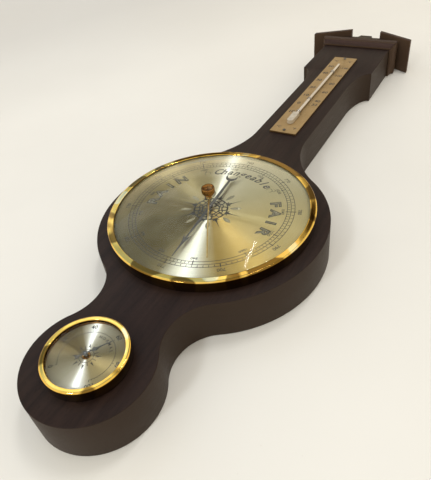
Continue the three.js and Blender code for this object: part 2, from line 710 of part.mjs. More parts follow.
// Points of involute teeth, counterclockwise, the middle tooth on the +X axis.
function toothPoints(wheelTeeth, count, addendum, dedendum) {
  const pitch = (MODULE * wheelTeeth) / 2;
  const base = pitch * cos(radians(20));
  const backlash = 0.1;
  const involute = (radius) => {
    const angle = Math.acos(Math.min(1, base / radius));
    return Math.tan(angle) - angle;
  };
  const halfTooth = (radius) =>
    PI / (2 * wheelTeeth) - backlash / pitch + involute(pitch) - involute(Math.max(radius, base));
  const radii = [pitch - dedendum, Math.max(base, pitch - dedendum * 0.5), pitch, pitch + addendum];
  const points = [];
  for (let tooth = 0; tooth < count; tooth++) {
    const centre = ((tooth - (count - 1) / 2) * 2 * PI) / wheelTeeth;
    for (const radius of radii) {
      points.push([radius, centre - halfTooth(radius)]);
    }
    for (const radius of [...radii].reverse()) {
      points.push([radius, centre + halfTooth(radius)]);
    }
  }
  return points.map(([radius, angle]) => new THREE.Vector2(radius * cos(angle), radius * sin(angle)));
}

function pinionArbor() {
  const teeth = new THREE.Shape(toothPoints(PINION_TEETH, PINION_TEETH, MODULE, MODULE * 1.25));
  const gear = slab(teeth, -2, 3);
  const shaft = turned([
    [0, MOVEMENT_PLATE.bottom + 0.3],
    [0.5, MOVEMENT_PLATE.bottom + 0.3],
    [0.5, MOVEMENT_PLATE.top + GAP],
    [0.9, MOVEMENT_PLATE.top + GAP],
    [0.9, BRIDGE.top + GAP],
    [1.7, BRIDGE.top + GAP],
    [1.7, BRIDGE.top + 1.4],
    [0.9, BRIDGE.top + 1.4],
    [0.9, HAND_HEIGHT - 1],
    [0.6, HAND_HEIGHT - 1],
    [0.6, HAND_HEIGHT + 0.6],
    [0, HAND_HEIGHT + 0.6],
  ], 16);
  return join(gear, shaft);
}

// The toothed sector with its arbor, and the pin on its tail that the rocker's finger works.
function sectorGear() {
  const outline = new THREE.Shape(toothPoints(WHEEL_TEETH, SECTOR_TEETH, MODULE * 0.6, MODULE * 1.25));
  outline.lineTo(0, 3);
  outline.lineTo(-pinDistance, 1.3);
  outline.absarc(-pinDistance, 0, 1.3, PI / 2, 1.5 * PI, false);
  outline.lineTo(0, -3);
  const window = polygon([[7, 2], [7, -2], [24, -8], [25.5, 0], [24, 8]]);
  const plate = slab(withHoles(outline, window), -1, 1, 4);
  const pin = rod(pinRadius, -4.2, -0.5, 12).translate(-pinDistance, 0, 0);
  const arbor = turned([
    [0, MOVEMENT_PLATE.bottom + 0.3],
    [0.5, MOVEMENT_PLATE.bottom + 0.3],
    [0.5, MOVEMENT_PLATE.top + GAP],
    [1.1, MOVEMENT_PLATE.top + GAP],
    [1.1, BRIDGE.bottom - GAP],
    [0.5, BRIDGE.bottom - GAP],
    [0.5, BRIDGE.top - 0.2],
    [0, BRIDGE.top - 0.2],
  ], 16);
  return join(plate, pin, arbor);
}

// The rocker's shaft lies along X. A short arm reaches over the capsule and a long finger stands up
// to the sector's pin.
const rockerShaftLeft = sectorX - 7.7;
const rockerShaftRight = 3.1;

function rocker() {
  const middle = (rockerShaftLeft + rockerShaftRight) / 2;
  const length = rockerShaftRight - rockerShaftLeft;
  const shaft = rod(1, -length / 2, length / 2, 14).rotateY(PI / 2).translate(middle, 0, 0);
  const pivotLength = length + 3.6;
  const pivots = rod(0.5, -pivotLength / 2, pivotLength / 2, 14).rotateY(PI / 2).translate(middle, 0, 0);
  const arm = box(2, ROCKER_ARM + 1.2, 0.8).translate(CAPSULE.x, -(ROCKER_ARM + 1.2) / 2, 0);
  const fingerLength = CONTACT_HEIGHT + 0.9;
  const finger = box(1.6, 2 * fingerHalf, fingerLength).translate(pinX, 0, fingerLength / 2);
  return join(shaft, pivots, arm, finger);
}

function rockerBracket() {
  const plate = withHoles(
    polygon([[-3.5, ROCKER_HEIGHT - 1.6], [3.5, ROCKER_HEIGHT - 1.6], [3.5, -8.3], [-3.5, -8.3]]),
    circle(0.5 + GAP, 0, ROCKER_HEIGHT),
  );
  const thickness = 1.2;
  return slab(plate, -thickness / 2, thickness, 6).rotateX(PI / 2).rotateZ(PI / 2);
}

// Two corrugated discs joined at the rim, standing on a short foot.
function capsule() {
  const top = CAPSULE.bottom + CAPSULE.height + capsuleRise;
  const middle = (top + CAPSULE.bottom) / 2;
  const ripples = 10;
  const waves = (side) => Array.from({ length: ripples + 1 }, (_, step) => {
    const radius = 3.5 + (14 * step) / ripples;
    const ripple = 0.35 * cos(step * PI);
    const height = (top - CAPSULE.bottom) / 2 - 1.4 - (1.2 * step) / ripples + ripple;
    return [radius, middle + side * height];
  });
  return turned([
    [0, CAPSULE.bottom],
    [3, CAPSULE.bottom],
    ...waves(-1),
    [CAPSULE.radius, middle - 0.4],
    [CAPSULE.radius, middle + 0.4],
    ...waves(1).reverse(),
    [3, top],
    [0, top],
  ], 24);
}

function capsuleStud() {
  const foot = CAPSULE.bottom + CAPSULE.height + capsuleRise + GAP;
  const leaf = MAINSPRING.top + capsuleRise;
  const tip = ROCKER_HEIGHT - 0.4 - GAP + capsuleRise;
  return turned([
    [0, foot],
    [2.6, foot],
    [2.6, leaf - MAINSPRING.thickness - GAP],
    [1.2, leaf - MAINSPRING.thickness - GAP],
    [1.2, tip],
    [0, tip],
  ], 18);
}

// A leaf bent like a U on its side: the lower leg lies on the base plate, the upper one holds the
// capsule's stud up against the pressure of the air.
function mainspring() {
  const top = MAINSPRING.top + capsuleRise;
  const outer = (top - CAPSULE.bottom) / 2;
  const inner = outer - MAINSPRING.thickness;
  const middle = (top + CAPSULE.bottom) / 2;
  const section = new THREE.Shape();
  section.moveTo(MAINSPRING.lowerEnd, CAPSULE.bottom);
  section.lineTo(MAINSPRING.bend, CAPSULE.bottom);
  section.absarc(MAINSPRING.bend, middle, outer, -PI / 2, PI / 2, false);
  section.lineTo(MAINSPRING.freeEnd, top);
  section.lineTo(MAINSPRING.freeEnd, top - MAINSPRING.thickness);
  section.lineTo(MAINSPRING.bend, top - MAINSPRING.thickness);
  section.absarc(MAINSPRING.bend, middle, inner, PI / 2, -PI / 2, true);
  section.lineTo(MAINSPRING.lowerEnd, CAPSULE.bottom + MAINSPRING.thickness);
  section.closePath();
  const leaf = slab(section, -MAINSPRING.width / 2, MAINSPRING.width, 12).rotateX(PI / 2).rotateZ(PI / 2);
  leaf.translate(CAPSULE.x, 0, 0);
  const hole = rod(1.2 + GAP, top - 2, top + 1, 16).translate(CAPSULE.x, capsuleY, 0);
  return cut(leaf, hole);
}

function basePlate() {
  const hole = circle(ADJUSTER.shank + GAP, ADJUSTER.x, ADJUSTER.y);
  const plate = withHoles(circle(BASE_PLATE.radius), hole);
  return slab(plate, BASE_PLATE.bottom, BASE_PLATE.top - BASE_PLATE.bottom, 20);
}

function movementPlate() {
  const { bottom, top, left, right, half, corner } = MOVEMENT_PLATE;
  const fingerSlot = roundedRectangle(pinX - 1.4, pinX + 1.4, rockerY - 2, rockerY + 2, 0.6);
  const plate = withHoles(
    roundedRectangle(left, right, -half, half, corner),
    circle(PIVOT + GAP),
    circle(PIVOT + GAP, sectorX, 0),
    fingerSlot,
  );
  return slab(plate, bottom, top - bottom, 5);
}

function bridge() {
  const { bottom, top, left, right, half, corner } = BRIDGE;
  const plate = withHoles(
    roundedRectangle(left, right, -half, half, corner),
    circle(0.9 + GAP),
    circle(PIVOT + GAP, sectorX, 0),
  );
  return slab(plate, bottom, top - bottom, 5);
}

function pillar(radius, bottom, top) {
  const waist = radius * 0.7;
  const third = (top - bottom) / 3;
  return turned([
    [0, bottom],
    [radius, bottom],
    [radius, bottom + third * 0.5],
    [waist, bottom + third],
    [waist, top - third],
    [radius, top - third * 0.5],
    [radius, top],
    [0, top],
  ], 10);
}

function addMovement() {
  add(barometer, "movement_base_plate", basePlate(), steel);
  add(barometer, "aneroid_capsule", capsule().translate(CAPSULE.x, capsuleY, 0), tin);
  add(barometer, "capsule_stud", capsuleStud().translate(CAPSULE.x, capsuleY, 0), brass);
  add(barometer, "mainspring", mainspring(), steel);
  add(barometer, "movement_plate", movementPlate(), brass);
  add(barometer, "movement_bridge", bridge(), brass);

  PLATE_PILLARS.forEach(([x, y], i) => {
    const post = pillar(PLATE_PILLAR_RADIUS, BASE_PLATE.top + GAP, MOVEMENT_PLATE.bottom - GAP);
    add(barometer, `plate_pillar_${i + 1}`, post.translate(x, y, 0), brass);
  });
  BRIDGE_PILLARS.forEach(([x, y], i) => {
    const post = pillar(BRIDGE_PILLAR_RADIUS, MOVEMENT_PLATE.top + GAP, BRIDGE.bottom - GAP);
    add(barometer, `bridge_pillar_${i + 1}`, post.translate(x, y, 0), brass);
  });
  [rockerShaftLeft - 0.9, rockerShaftRight + 0.9].forEach((x, i) => {
    add(barometer, `rocker_bracket_${i + 1}`, rockerBracket().translate(x, rockerY, 0), brass);
  });

  const rockerMesh = add(barometer, "rocker", rocker(), steel);
  rockerMesh.position.set(0, rockerY, ROCKER_HEIGHT);
  rockerMesh.rotation.x = rockerTilt;
  const sector = add(barometer, "sector_gear", sectorGear(), brass);
  sector.position.x = sectorX;
  sector.rotation.z = -midTurn / sectorRatio;
  const arbor = add(barometer, "pinion_arbor", pinionArbor(), steel);
  arbor.rotation.z = midTurn;

  add(barometer, "hairspring", spiralStrip(HAIRSPRING, BRIDGE.top + HAIRSPRING.rise), steel);
  const { head, headHeight, shank, tip } = ADJUSTER;
  const adjuster = slottedScrew(head, 0, headHeight, shank, tip).rotateX(PI);
  adjuster.translate(ADJUSTER.x, ADJUSTER.y, BASE_PLATE.bottom - GAP);
  add(barometer, "adjusting_screw", adjuster, brass);
}

function addBarometer() {
  add(barometer, "main_can", mainCan(), tin);
  addCanScrews();
  addMovement();
  add(barometer, "main_dial", mainDial(), dialMetal);
  add(barometer, "main_bezel", mainBezel(), brass);
  add(barometer, "main_glass", mainGlass(), clearGlass);
  add(barometer, "main_hand", mainHand(), blackSteel).rotation.z = -radians(HAND_REST);
  add(barometer, "set_hand", setHand(), brass).rotation.z = -radians(SET_HAND_REST);
  add(barometer, "set_spindle", setSpindle(), brass);
  add(barometer, "set_knob", setKnob(), brass);
  add(barometer, "set_bush", setBush(), brass);
}

// ---- Hygrometer ----
function hygroCan() {
  const inner = HYGRO_CAN_RADIUS - HYGRO_CAN_WALL;
  const rim = HYGRO_DIAL_TOP - HYGRO_DIAL_THICKNESS - GAP;
  return turned([
    [0, HYGRO_CAN_BOTTOM],
    [HYGRO_CAN_RADIUS, HYGRO_CAN_BOTTOM],
    [HYGRO_CAN_RADIUS, GAP],
    [HYGRO_FLANGE.radius, GAP],
    [HYGRO_FLANGE.radius, GAP + HYGRO_FLANGE.thickness],
    [HYGRO_CAN_RADIUS, GAP + HYGRO_FLANGE.thickness],
    [HYGRO_CAN_RADIUS, rim],
    [inner, rim],
    [inner, HYGRO_CAN_BOTTOM + HYGRO_CAN_WALL],
    [0, HYGRO_CAN_BOTTOM + HYGRO_CAN_WALL],
  ], 28);
}

function hygroBezel() {
  return bezel({
    radius: HYGRO_BEZEL_RADIUS,
    top: HYGRO_BEZEL_TOP,
    wall: HYGRO_BEZEL_WALL,
    shoulder: HYGRO_SHOULDER,
    opening: HYGRO_OPENING,
    seat: HYGRO_SEAT,
    segments: 32,
  });
}

function hygroGlass() {
  return domedGlass({
    ...HYGRO_GLASS,
    outer: HYGRO_FLANGE.radius,
    hole: 0,
    steps: 4,
    segments: 24,
  });
}

function hygroHand() {
  const { length, thickness, height } = HYGRO_HAND;
  const needle = polygon([
    [-0.5, -4],
    [-1.3, -6.2],
    [0, -5.6],
    [1.3, -6.2],
    [0.5, -4],
    [0.4, 4.2],
    [1.3, 5],
    [0.4, 7.4],
    [0.15, length],
    [-0.15, length],
    [-0.4, 7.4],
    [-1.3, 5],
    [-0.4, 4.2],
  ]);
  const hub = rod(1.5, height - 0.4, height + 0.6);
  const bore = rod(HYGRO_ARBOR.tip + GAP, height - 1, height + 2, 16);
  return cut(join(slab(needle, height, thickness), hub), bore);
}

// The bush comes through the dial, with its nut on the front.
function hygroBush() {
  const { neck, nut, nutTop, bottom, top } = HYGRO_BUSH;
  const bore = HYGRO_ARBOR.body + GAP;
  const seat = HYGRO_DIAL_TOP + GAP;
  return turned([
    [bore, bottom],
    [neck, bottom],
    [neck, seat],
    [nut, seat],
    [nutTop, top],
    [bore, top],
    [bore, bottom],
  ], 18);
}

function hygroArbor() {
  const { foot, body, tip, bottom, footTop, bodyTop, top } = HYGRO_ARBOR;
  return turned([
    [0, bottom],
    [foot, bottom],
    [foot, footTop],
    [body, footTop],
    [body, bodyTop],
    [tip, bodyTop],
    [tip, top],
    [0, top],
  ], 16);
}

function addHygrometer() {
  add(hygrometer, "hygro_can", hygroCan(), tin);
  add(hygrometer, "hygro_bezel", hygroBezel(), brass);
  const retainer = ring(
    HYGRO_OPENING - GAP, HYGRO_FLANGE.radius, HYGRO_DIAL_TOP + GAP, HYGRO_GLASS.rimBottom - GAP, 28);
  add(hygrometer, "hygro_glass_ring", retainer, brass);
  add(hygrometer, "hygro_glass", hygroGlass(), clearGlass);
  const dial = withHoles(circle(HYGRO_DIAL_RADIUS), circle(HYGRO_DIAL_HOLE));
  const dialPlate = slab(dial, HYGRO_DIAL_TOP - HYGRO_DIAL_THICKNESS, HYGRO_DIAL_THICKNESS, 14);
  add(hygrometer, "hygro_dial", dialPlate, dialMetal);
  add(hygrometer, "hygro_bush", hygroBush(), brass);
  add(hygrometer, "hygro_arbor", hygroArbor(), steel);
  add(hygrometer, "hygro_hand", hygroHand(), blackSteel).rotation.z = -radians(HYGRO_HAND_REST);
  add(hygrometer, "hygro_coil", spiralStrip(HYGRO_COIL, HYGRO_COIL.bottom), plateMetal);
  const { x, width, depth, bottom, height } = HYGRO_POST;
  const post = box(width, depth, height).translate(x, 0, bottom + height / 2);
  add(hygrometer, "hygro_coil_post", post, steel);
}

// ---- Thermometer ----
const tubeHeight = PLATE.thickness + 2 * GAP + TUBE_RADIUS;

// A rod along Y at the tube's height.
function alongTube(geometry) {
  return geometry.rotateX(-PI / 2).translate(0, 0, tubeHeight);
}

function thermometerTube() {
  const closedEnd = TUBE.top - TUBE.closedEnd;
  return alongTube(turned([
    [TUBE_BORE, TUBE.bottom],
    [TUBE_RADIUS, TUBE.bottom],
    [TUBE_RADIUS, TUBE.top - TUBE.tip],
    [TUBE_RADIUS - TUBE.tip, TUBE.top],
    [0, TUBE.top],
    [0, closedEnd],
    [TUBE_BORE, closedEnd],
    [TUBE_BORE, TUBE.bottom],
  ], 16));
}

function bulb() {
  const { bottom, top, radius, neck } = BULB;
  return alongTube(turned([
    [0, bottom],
    [neck, bottom + 0.4],
    [radius, bottom + 1.6],
    [radius, top - 1.5],
    [neck, top - 0.1],
    [0, top],
  ], 16));
}

// The outline of the bulb's cover, with its lower corners cut off, or that of the hollow inside it.
function guardOutline(inset) {
  const { corner, bottom, top } = GUARD;
  const half = GUARD.half - inset;
  const foot = bottom + inset;
  const slant = corner - inset * (2 - sqrt(2));
  return polygon([
    [-half, foot + slant],
    [slant - half, foot],
    [half - slant, foot],
    [half, foot + slant],
    [half, top + inset],
    [-half, top + inset],
  ]);
}

// The cover is open underneath and at the end that the tube comes out of.
function bulbGuard() {
  const base = PLATE.thickness + 2 * GAP;
  const rise = GUARD.height - base;
  const hollow = slab(guardOutline(GUARD.wall), base - GUARD.wall, rise);
  return cut(slab(guardOutline(0), base, rise), hollow);
}

// A wire staple over the tube.
function tubeClip() {
  const wire = CLIP_WIRE;
  const reach = TUBE_RADIUS + GAP + wire;
  const crown = new THREE.Shape();
  crown.moveTo(reach + wire, -TUBE_RADIUS);
  crown.absarc(0, 0, reach + wire, 0, PI, false);
  crown.lineTo(-reach - wire, -TUBE_RADIUS);
  crown.lineTo(-reach + wire, -TUBE_RADIUS);
  crown.absarc(0, 0, reach - wire, PI, 0, true);
  crown.lineTo(reach - wire, -TUBE_RADIUS);
  crown.closePath();
  const staple = slab(crown, -wire, 2 * wire, 5).rotateX(PI / 2);
  return staple.translate(0, 0, tubeHeight);
}

function addThermometer() {
  const outline = withHoles(
    polygon([
      [-PLATE.half, PLATE.bottom], [PLATE.half, PLATE.bottom],
      [PLATE.half, PLATE.top], [-PLATE.half, PLATE.top],
    ]),
    ...nailPlaces().map((y) => circle(NAIL.hole, 0, y)),
  );
  add(barometer, "thermometer_plate", slab(outline, GAP, PLATE.thickness), plateMetal);
  add(barometer, "thermometer_tube", thermometerTube(), clearGlass);

  add(barometer, "thermometer_bulb", bulb(), thermometerLiquid);
  const column = alongTube(rod(LIQUID_RADIUS, TUBE.bottom, LIQUID_LEVEL - MENISCUS - GAP, 12));
  add(barometer, "liquid_column", column, thermometerLiquid);
  const meniscus = alongTube(rod(LIQUID_RADIUS, LIQUID_LEVEL - MENISCUS, LIQUID_LEVEL, 12));
  add(barometer, "liquid_meniscus", meniscus, thermometerLiquid);
  add(barometer, "bulb_guard", bulbGuard(), whiteMetal);

  CLIP_PLACES.forEach((y, i) => {
    add(barometer, `tube_clip_${i + 1}`, tubeClip().translate(0, y, 0), steel);
  });
  nailPlaces().forEach((y, i) => {
    const { head, shank, tip } = NAIL;
    const seat = PLATE.thickness + 2 * GAP;
    const nail = turned([
      [0, tip],
      [shank, tip + 1],
      [shank, seat],
      [head, seat],
      [head * 0.8, seat + 0.7],
      [0, seat + 0.9],
    ], 14);
    add(barometer, `plate_nail_${i + 1}`, nail.translate(0, y, 0), blackSteel);
  });
}

add(barometer, "case_board", caseBoard(), wood);
addCornice();
addRoofBoards();
addHanger();
addBarometer();
addHygrometer();
addThermometer();

export default group;
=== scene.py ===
"""The visible pieces and finishes of a banjo-shaped wall barometer lying on a pale table.

Lengths are millimetres. X is across the case, Y is up the case and Z is out of its dials. A seat is the
point of the case's front that a group of pieces is measured from: the barometer's, or the hygrometer's.
"""

import json
from math import atan2, cos, pi, radians, sin, sqrt, tau

import bmesh
import bpy
from mathutils import Matrix, Quaternion, Vector


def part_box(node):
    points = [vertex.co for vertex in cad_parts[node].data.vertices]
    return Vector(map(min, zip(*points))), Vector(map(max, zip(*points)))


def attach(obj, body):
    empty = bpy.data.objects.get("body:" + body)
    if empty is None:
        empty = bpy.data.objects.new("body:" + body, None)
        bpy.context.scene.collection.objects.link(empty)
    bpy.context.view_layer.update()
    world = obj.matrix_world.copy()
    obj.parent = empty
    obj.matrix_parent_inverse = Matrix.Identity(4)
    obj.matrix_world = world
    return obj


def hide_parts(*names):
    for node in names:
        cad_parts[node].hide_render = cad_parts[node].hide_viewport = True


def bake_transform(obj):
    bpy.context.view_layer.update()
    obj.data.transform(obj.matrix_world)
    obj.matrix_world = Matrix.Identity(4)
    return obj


MM = 0.001
ORIGIN = Vector((0, 0, 0))

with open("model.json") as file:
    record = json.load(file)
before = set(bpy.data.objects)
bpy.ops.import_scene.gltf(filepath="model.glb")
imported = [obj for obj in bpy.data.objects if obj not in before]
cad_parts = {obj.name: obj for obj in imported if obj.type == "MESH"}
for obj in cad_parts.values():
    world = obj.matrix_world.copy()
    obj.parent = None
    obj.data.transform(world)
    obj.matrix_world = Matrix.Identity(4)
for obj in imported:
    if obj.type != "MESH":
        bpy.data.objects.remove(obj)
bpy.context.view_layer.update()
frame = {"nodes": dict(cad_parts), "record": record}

# ---- Driving dimensions, as in the CAD part ----
GAP = 0.3
THICKNESS = 31
BODY_RADIUS = 87.4
FOOT_RADIUS = 40.9
FOOT_DISTANCE = 142.1
WAIST_RADIUS = 32.1
NECK_HALF = 24.8
NECK_FILLET = 72.9
BLOCK_HALF = 38.4
BLOCK_START = 277.5
SHOULDER_RISE = 39.5
ROOF_OUTER = (58.1, 365.8)
ROOF_INNER = (17.4, 387.5)
ROOF_THICKNESS = 5.3
ROOF_OVERHANG = 6.6
TAB_HALF = 7
TAB_TOP = 386.3
SCOOP_LEVEL = 380.5
SCOOP_HALF = 11
CORNICE_BOTTOM = 345.7
CORNICE_STEP = 2.2
CORNICE_REACH = 5.6
CORNICE_BAND = 2.5
CORNICE_HOLLOW = 6.8
CORNICE_SLOPE_START = 6.5
CORNICE_SLOPE_END = 9.4
CORNICE_TOP_REACH = 1.6
CASE_EDGE = 0.55
HANGER_Y = 330
HANGER_POCKET_HALF = 20.5
HANGER_POCKET_RISE = 7.5
HANGER_POCKET_DEPTH = 3.4
HOOK_RADIUS = 6.5
HOOK_DEPTH = 8

CAN_BORE = 63
BEZEL_RADIUS = 77.5
BEZEL_TOP = 9.15
BEZEL_OPENING = 72.7
DIAL_RADIUS = 74.3
DIAL_TOP = 7
DIAL_THICKNESS = 0.8
GLASS_RIM_TOP = 8.1
GLASS_APEX = 20.6
GLASS_THICKNESS = 1.4
GLASS_EDGE = BEZEL_OPENING - GAP
GLASS_HOLE = 2.4
SET_HAND_LENGTH = 56.5
SET_HAND_REST = 152
KNOB_RADIUS = 4.9
KNOB_BOTTOM = 21.9
KNOB_TOP = 26.9

HYGRO_BORE = 22.5
HYGRO_BEZEL_RADIUS = 26.3
HYGRO_BEZEL_TOP = 8.5
HYGRO_BEZEL_OPENING = 23.2
HYGRO_BEZEL_SEAT = 8.0
HYGRO_GLASS_EDGE = 23
HYGRO_GLASS_BOTTOM = 6.9
HYGRO_GLASS_RIM_TOP = 7.7
HYGRO_GLASS_APEX = 10.2
HYGRO_GLASS_THICKNESS = 1
HYGRO_DIAL_RADIUS = 24.8
HYGRO_DIAL_TOP = 4.65

PLATE_BOTTOM = 130.2
PLATE_TOP = 308.8
PLATE_HALF = 12.8
PLATE_THICKNESS = 1.6
NAIL_INSET = 4
TUBE_RADIUS = 1.45
TUBE_BORE = 0.75
TUBE_BOTTOM = 154
TUBE_TOP = 285.2
TUBE_HEIGHT = PLATE_THICKNESS + 2 * GAP + TUBE_RADIUS
LIQUID_LEVEL = 226.3
LIQUID_RADIUS = 0.45
FREEZING_Y = 189.1
TEN_DEGREES = 18.6


def middle(node):
    low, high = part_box(node)
    return (low + high) / 2


CASE_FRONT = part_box("case_board")[1].z
BAROMETER = Vector((middle("main_dial").x, middle("main_dial").y, CASE_FRONT))
HYGROMETER = Vector((middle("hygro_dial").x, middle("hygro_dial").y, CASE_FRONT))


# ---- Materials ----
class Wiring:
    """A node tree being wired up. add() makes a node; a socket given as an input's value is linked."""

    def __init__(self, tree):
        self.tree = tree

    def add(self, kind, inputs=None, **settings):
        node = self.tree.nodes.new(kind)
        for key, value in settings.items():
            setattr(node, key, value)
        self.feed(node, inputs or {})
        return node

    def feed(self, node, inputs):
        for key, value in inputs.items():
            if isinstance(value, bpy.types.NodeSocket):
                self.tree.links.new(value, node.inputs[key])
            else:
                node.inputs[key].default_value = value

    def noise(self, place, scale, detail=3.0, roughness=0.55):
        settings = {"Vector": place, "Scale": scale, "Detail": detail, "Roughness": roughness}
        return self.add("ShaderNodeTexNoise", settings).outputs["Fac"]

    def span(self, value, low, high, to_low=0.0, to_high=1.0):
        settings = {"Value": value, "From Min": low, "From Max": high, "To Min": to_low, "To Max": to_high}
        return self.add("ShaderNodeMapRange", settings).outputs["Result"]

    def mix(self, share, first, second):
        node = self.add("ShaderNodeMix", data_type="RGBA")
        self.feed(node, {0: share, 6: first, 7: second})
        return node.outputs[2]

    def math(self, operation, first, second=0.0):
        return self.add("ShaderNodeMath", {0: first, 1: second}, operation=operation).outputs[0]

    def ramp(self, value, stops):
        """A smooth run of colours along value, given as positions from 0 to 1 and their colours."""
        node = self.add("ShaderNodeValToRGB", {"Fac": value})
        elements = node.color_ramp.elements
        elements.remove(elements[1])
        elements[0].position, elements[0].color = stops[0]
        for position, shade in stops[1:]:
            elements.new(position).color = shade
        return node.outputs["Color"]


class Finish(Wiring):
    """A material on the Principled shader."""

    def __init__(self, name):
        self.material = bpy.data.materials.new(name)
        self.material.use_nodes = True
        super().__init__(self.material.node_tree)
        self.shader = self.tree.nodes["Principled BSDF"]
        self.output = self.tree.nodes["Material Output"]

    def place(self, scale=(1, 1, 1)):
        """Where a point is on the object, in metres, stretched by scale."""
        coordinates = self.add("ShaderNodeTexCoord")
        mapping = self.add("ShaderNodeMapping", {"Vector": coordinates.outputs["Object"], "Scale": scale})
        return mapping.outputs["Vector"]

    def facing_up(self):
        """1 on a surface that faces straight out of the dials, 0 on an upright one."""
        normal = self.add("ShaderNodeNewGeometry").outputs["Normal"]
        return self.add("ShaderNodeSeparateXYZ", {0: normal}).outputs["Z"]

    def bump(self, height, distance, strength=1.0):
        settings = {"Height": height, "Distance": distance, "Strength": strength}
        node = self.add("ShaderNodeBump", settings)
        self.feed(self.shader, {"Normal": node.outputs["Normal"]})


def colour(red, green, blue):
    """A colour given as screen values from 0 to 255."""

    def linear(value):
        share = value / 255
        return share / 12.92 if share <= 0.04045 else ((share + 0.055) / 1.055) ** 2.4

    return (linear(red), linear(green), linear(blue), 1.0)


def wood(name, along, shade=1.0):
    """Stained close-grained wood under satin lacquer. along is the grain's axis: 0 for X, 1 for Y. shade
    scales the wood's colours: above 1 it is painted light that lifts pieces lying in shadow. Upright faces
    are painted a lighter grey-brown, a painted reflection of the pale table.
    """
    finish = Finish(name)
    squeeze = [1.0, 1.0, 1.0]
    squeeze[along] = 0.055
    grain = finish.place(squeeze)
    figure = finish.noise(grain, 210, 6, 0.62)
    fibre = finish.noise(grain, 1300, 4, 0.6)
    short = [1.0, 1.0, 1.0]
    short[along] = 0.13
    pore = finish.span(finish.noise(finish.place(short), 2300, 2), 0.58, 0.68)
    cloud = finish.noise(finish.place(), 14, 3)
    dark = colour(18 * shade, 12 * shade, 11 * shade)
    light = colour(46 * shade, 33 * shade, 28 * shade)
    base = finish.mix(finish.span(figure, 0.3, 0.7), dark, light)
    base = finish.mix(finish.span(fibre, 0.35, 0.65, 0.0, 0.45), base, light)
    red = colour(36 * shade, 22 * shade, 19 * shade)
    base = finish.mix(finish.span(cloud, 0.3, 0.7, 0.0, 0.35), base, red)
    base = finish.mix(finish.math("MULTIPLY", pore, 0.55), base, colour(12, 8, 7))
    # Painted reflection: upright faces are painted a lighter grey-brown in place of the pale table reflected
    # in the case's sides.
    side = finish.span(finish.facing_up(), 0.35, 0.75, 0.8, 0.0)
    base = finish.mix(side, base, colour(54 * shade, 43 * shade, 34 * shade))
    rough = finish.span(fibre, 0.3, 0.7, 0.42, 0.54)
    finish.feed(finish.shader, {"Base Color": base, "Roughness": rough, "Specular IOR Level": 0.13})
    height = finish.math("SUBTRACT", finish.math("MULTIPLY", fibre, 0.5), pore)
    finish.bump(height, 0.00004, 0.5)
    return finish.material


def polished_brass():
    """Lacquered yellow brass with faint wipe marks.

    The brown and pale bands and the dark upright walls are painted on. They imitate a room's reflections,
    so they stay in place from every side."""
    finish = Finish("polished_brass")
    cloud = finish.noise(finish.place(), 55, 4)
    wipe = finish.noise(finish.place((1, 1, 0.2)), 900, 3)
    base = finish.mix(finish.span(cloud, 0.3, 0.7), colour(246, 208, 110), colour(236, 192, 86))
    speck = finish.span(finish.noise(finish.place(), 420, 2), 0.66, 0.74, 0.0, 0.5)
    base = finish.mix(speck, base, colour(168, 112, 44))
    band = finish.noise(finish.place((1, 1, 0.3)), 38, 1)
    base = finish.mix(finish.span(band, 0.55, 0.58, 0.0, 0.85), base, colour(100, 70, 24))
    base = finish.mix(finish.span(band, 0.42, 0.39, 0.0, 0.6), base, colour(255, 246, 196))
    wall = finish.span(finish.facing_up(), 0.1, 0.5, 0.8, 0.0)
    base = finish.mix(wall, base, colour(92, 62, 26))
    rough = finish.span(wipe, 0.3, 0.7, 0.025, 0.06)
    finish.feed(finish.shader, {"Base Color": base, "Metallic": 1.0, "Roughness": rough})
    finish.bump(wipe, 0.00001, 0.25)
    return finish.material


def knob_brass():
    """Warmer, older brass in cloudy tones."""
    finish = Finish("knob_brass")
    cloud = finish.noise(finish.place(), 320, 4)
    base = finish.mix(finish.span(cloud, 0.35, 0.65), colour(158, 118, 68), colour(118, 82, 42))
    rough = finish.span(cloud, 0.3, 0.7, 0.16, 0.28)
    finish.feed(finish.shader, {"Base Color": base, "Metallic": 1.0, "Roughness": rough})
    finish.bump(finish.noise(finish.place(), 2600, 2), 0.000008, 0.15)
    return finish.material


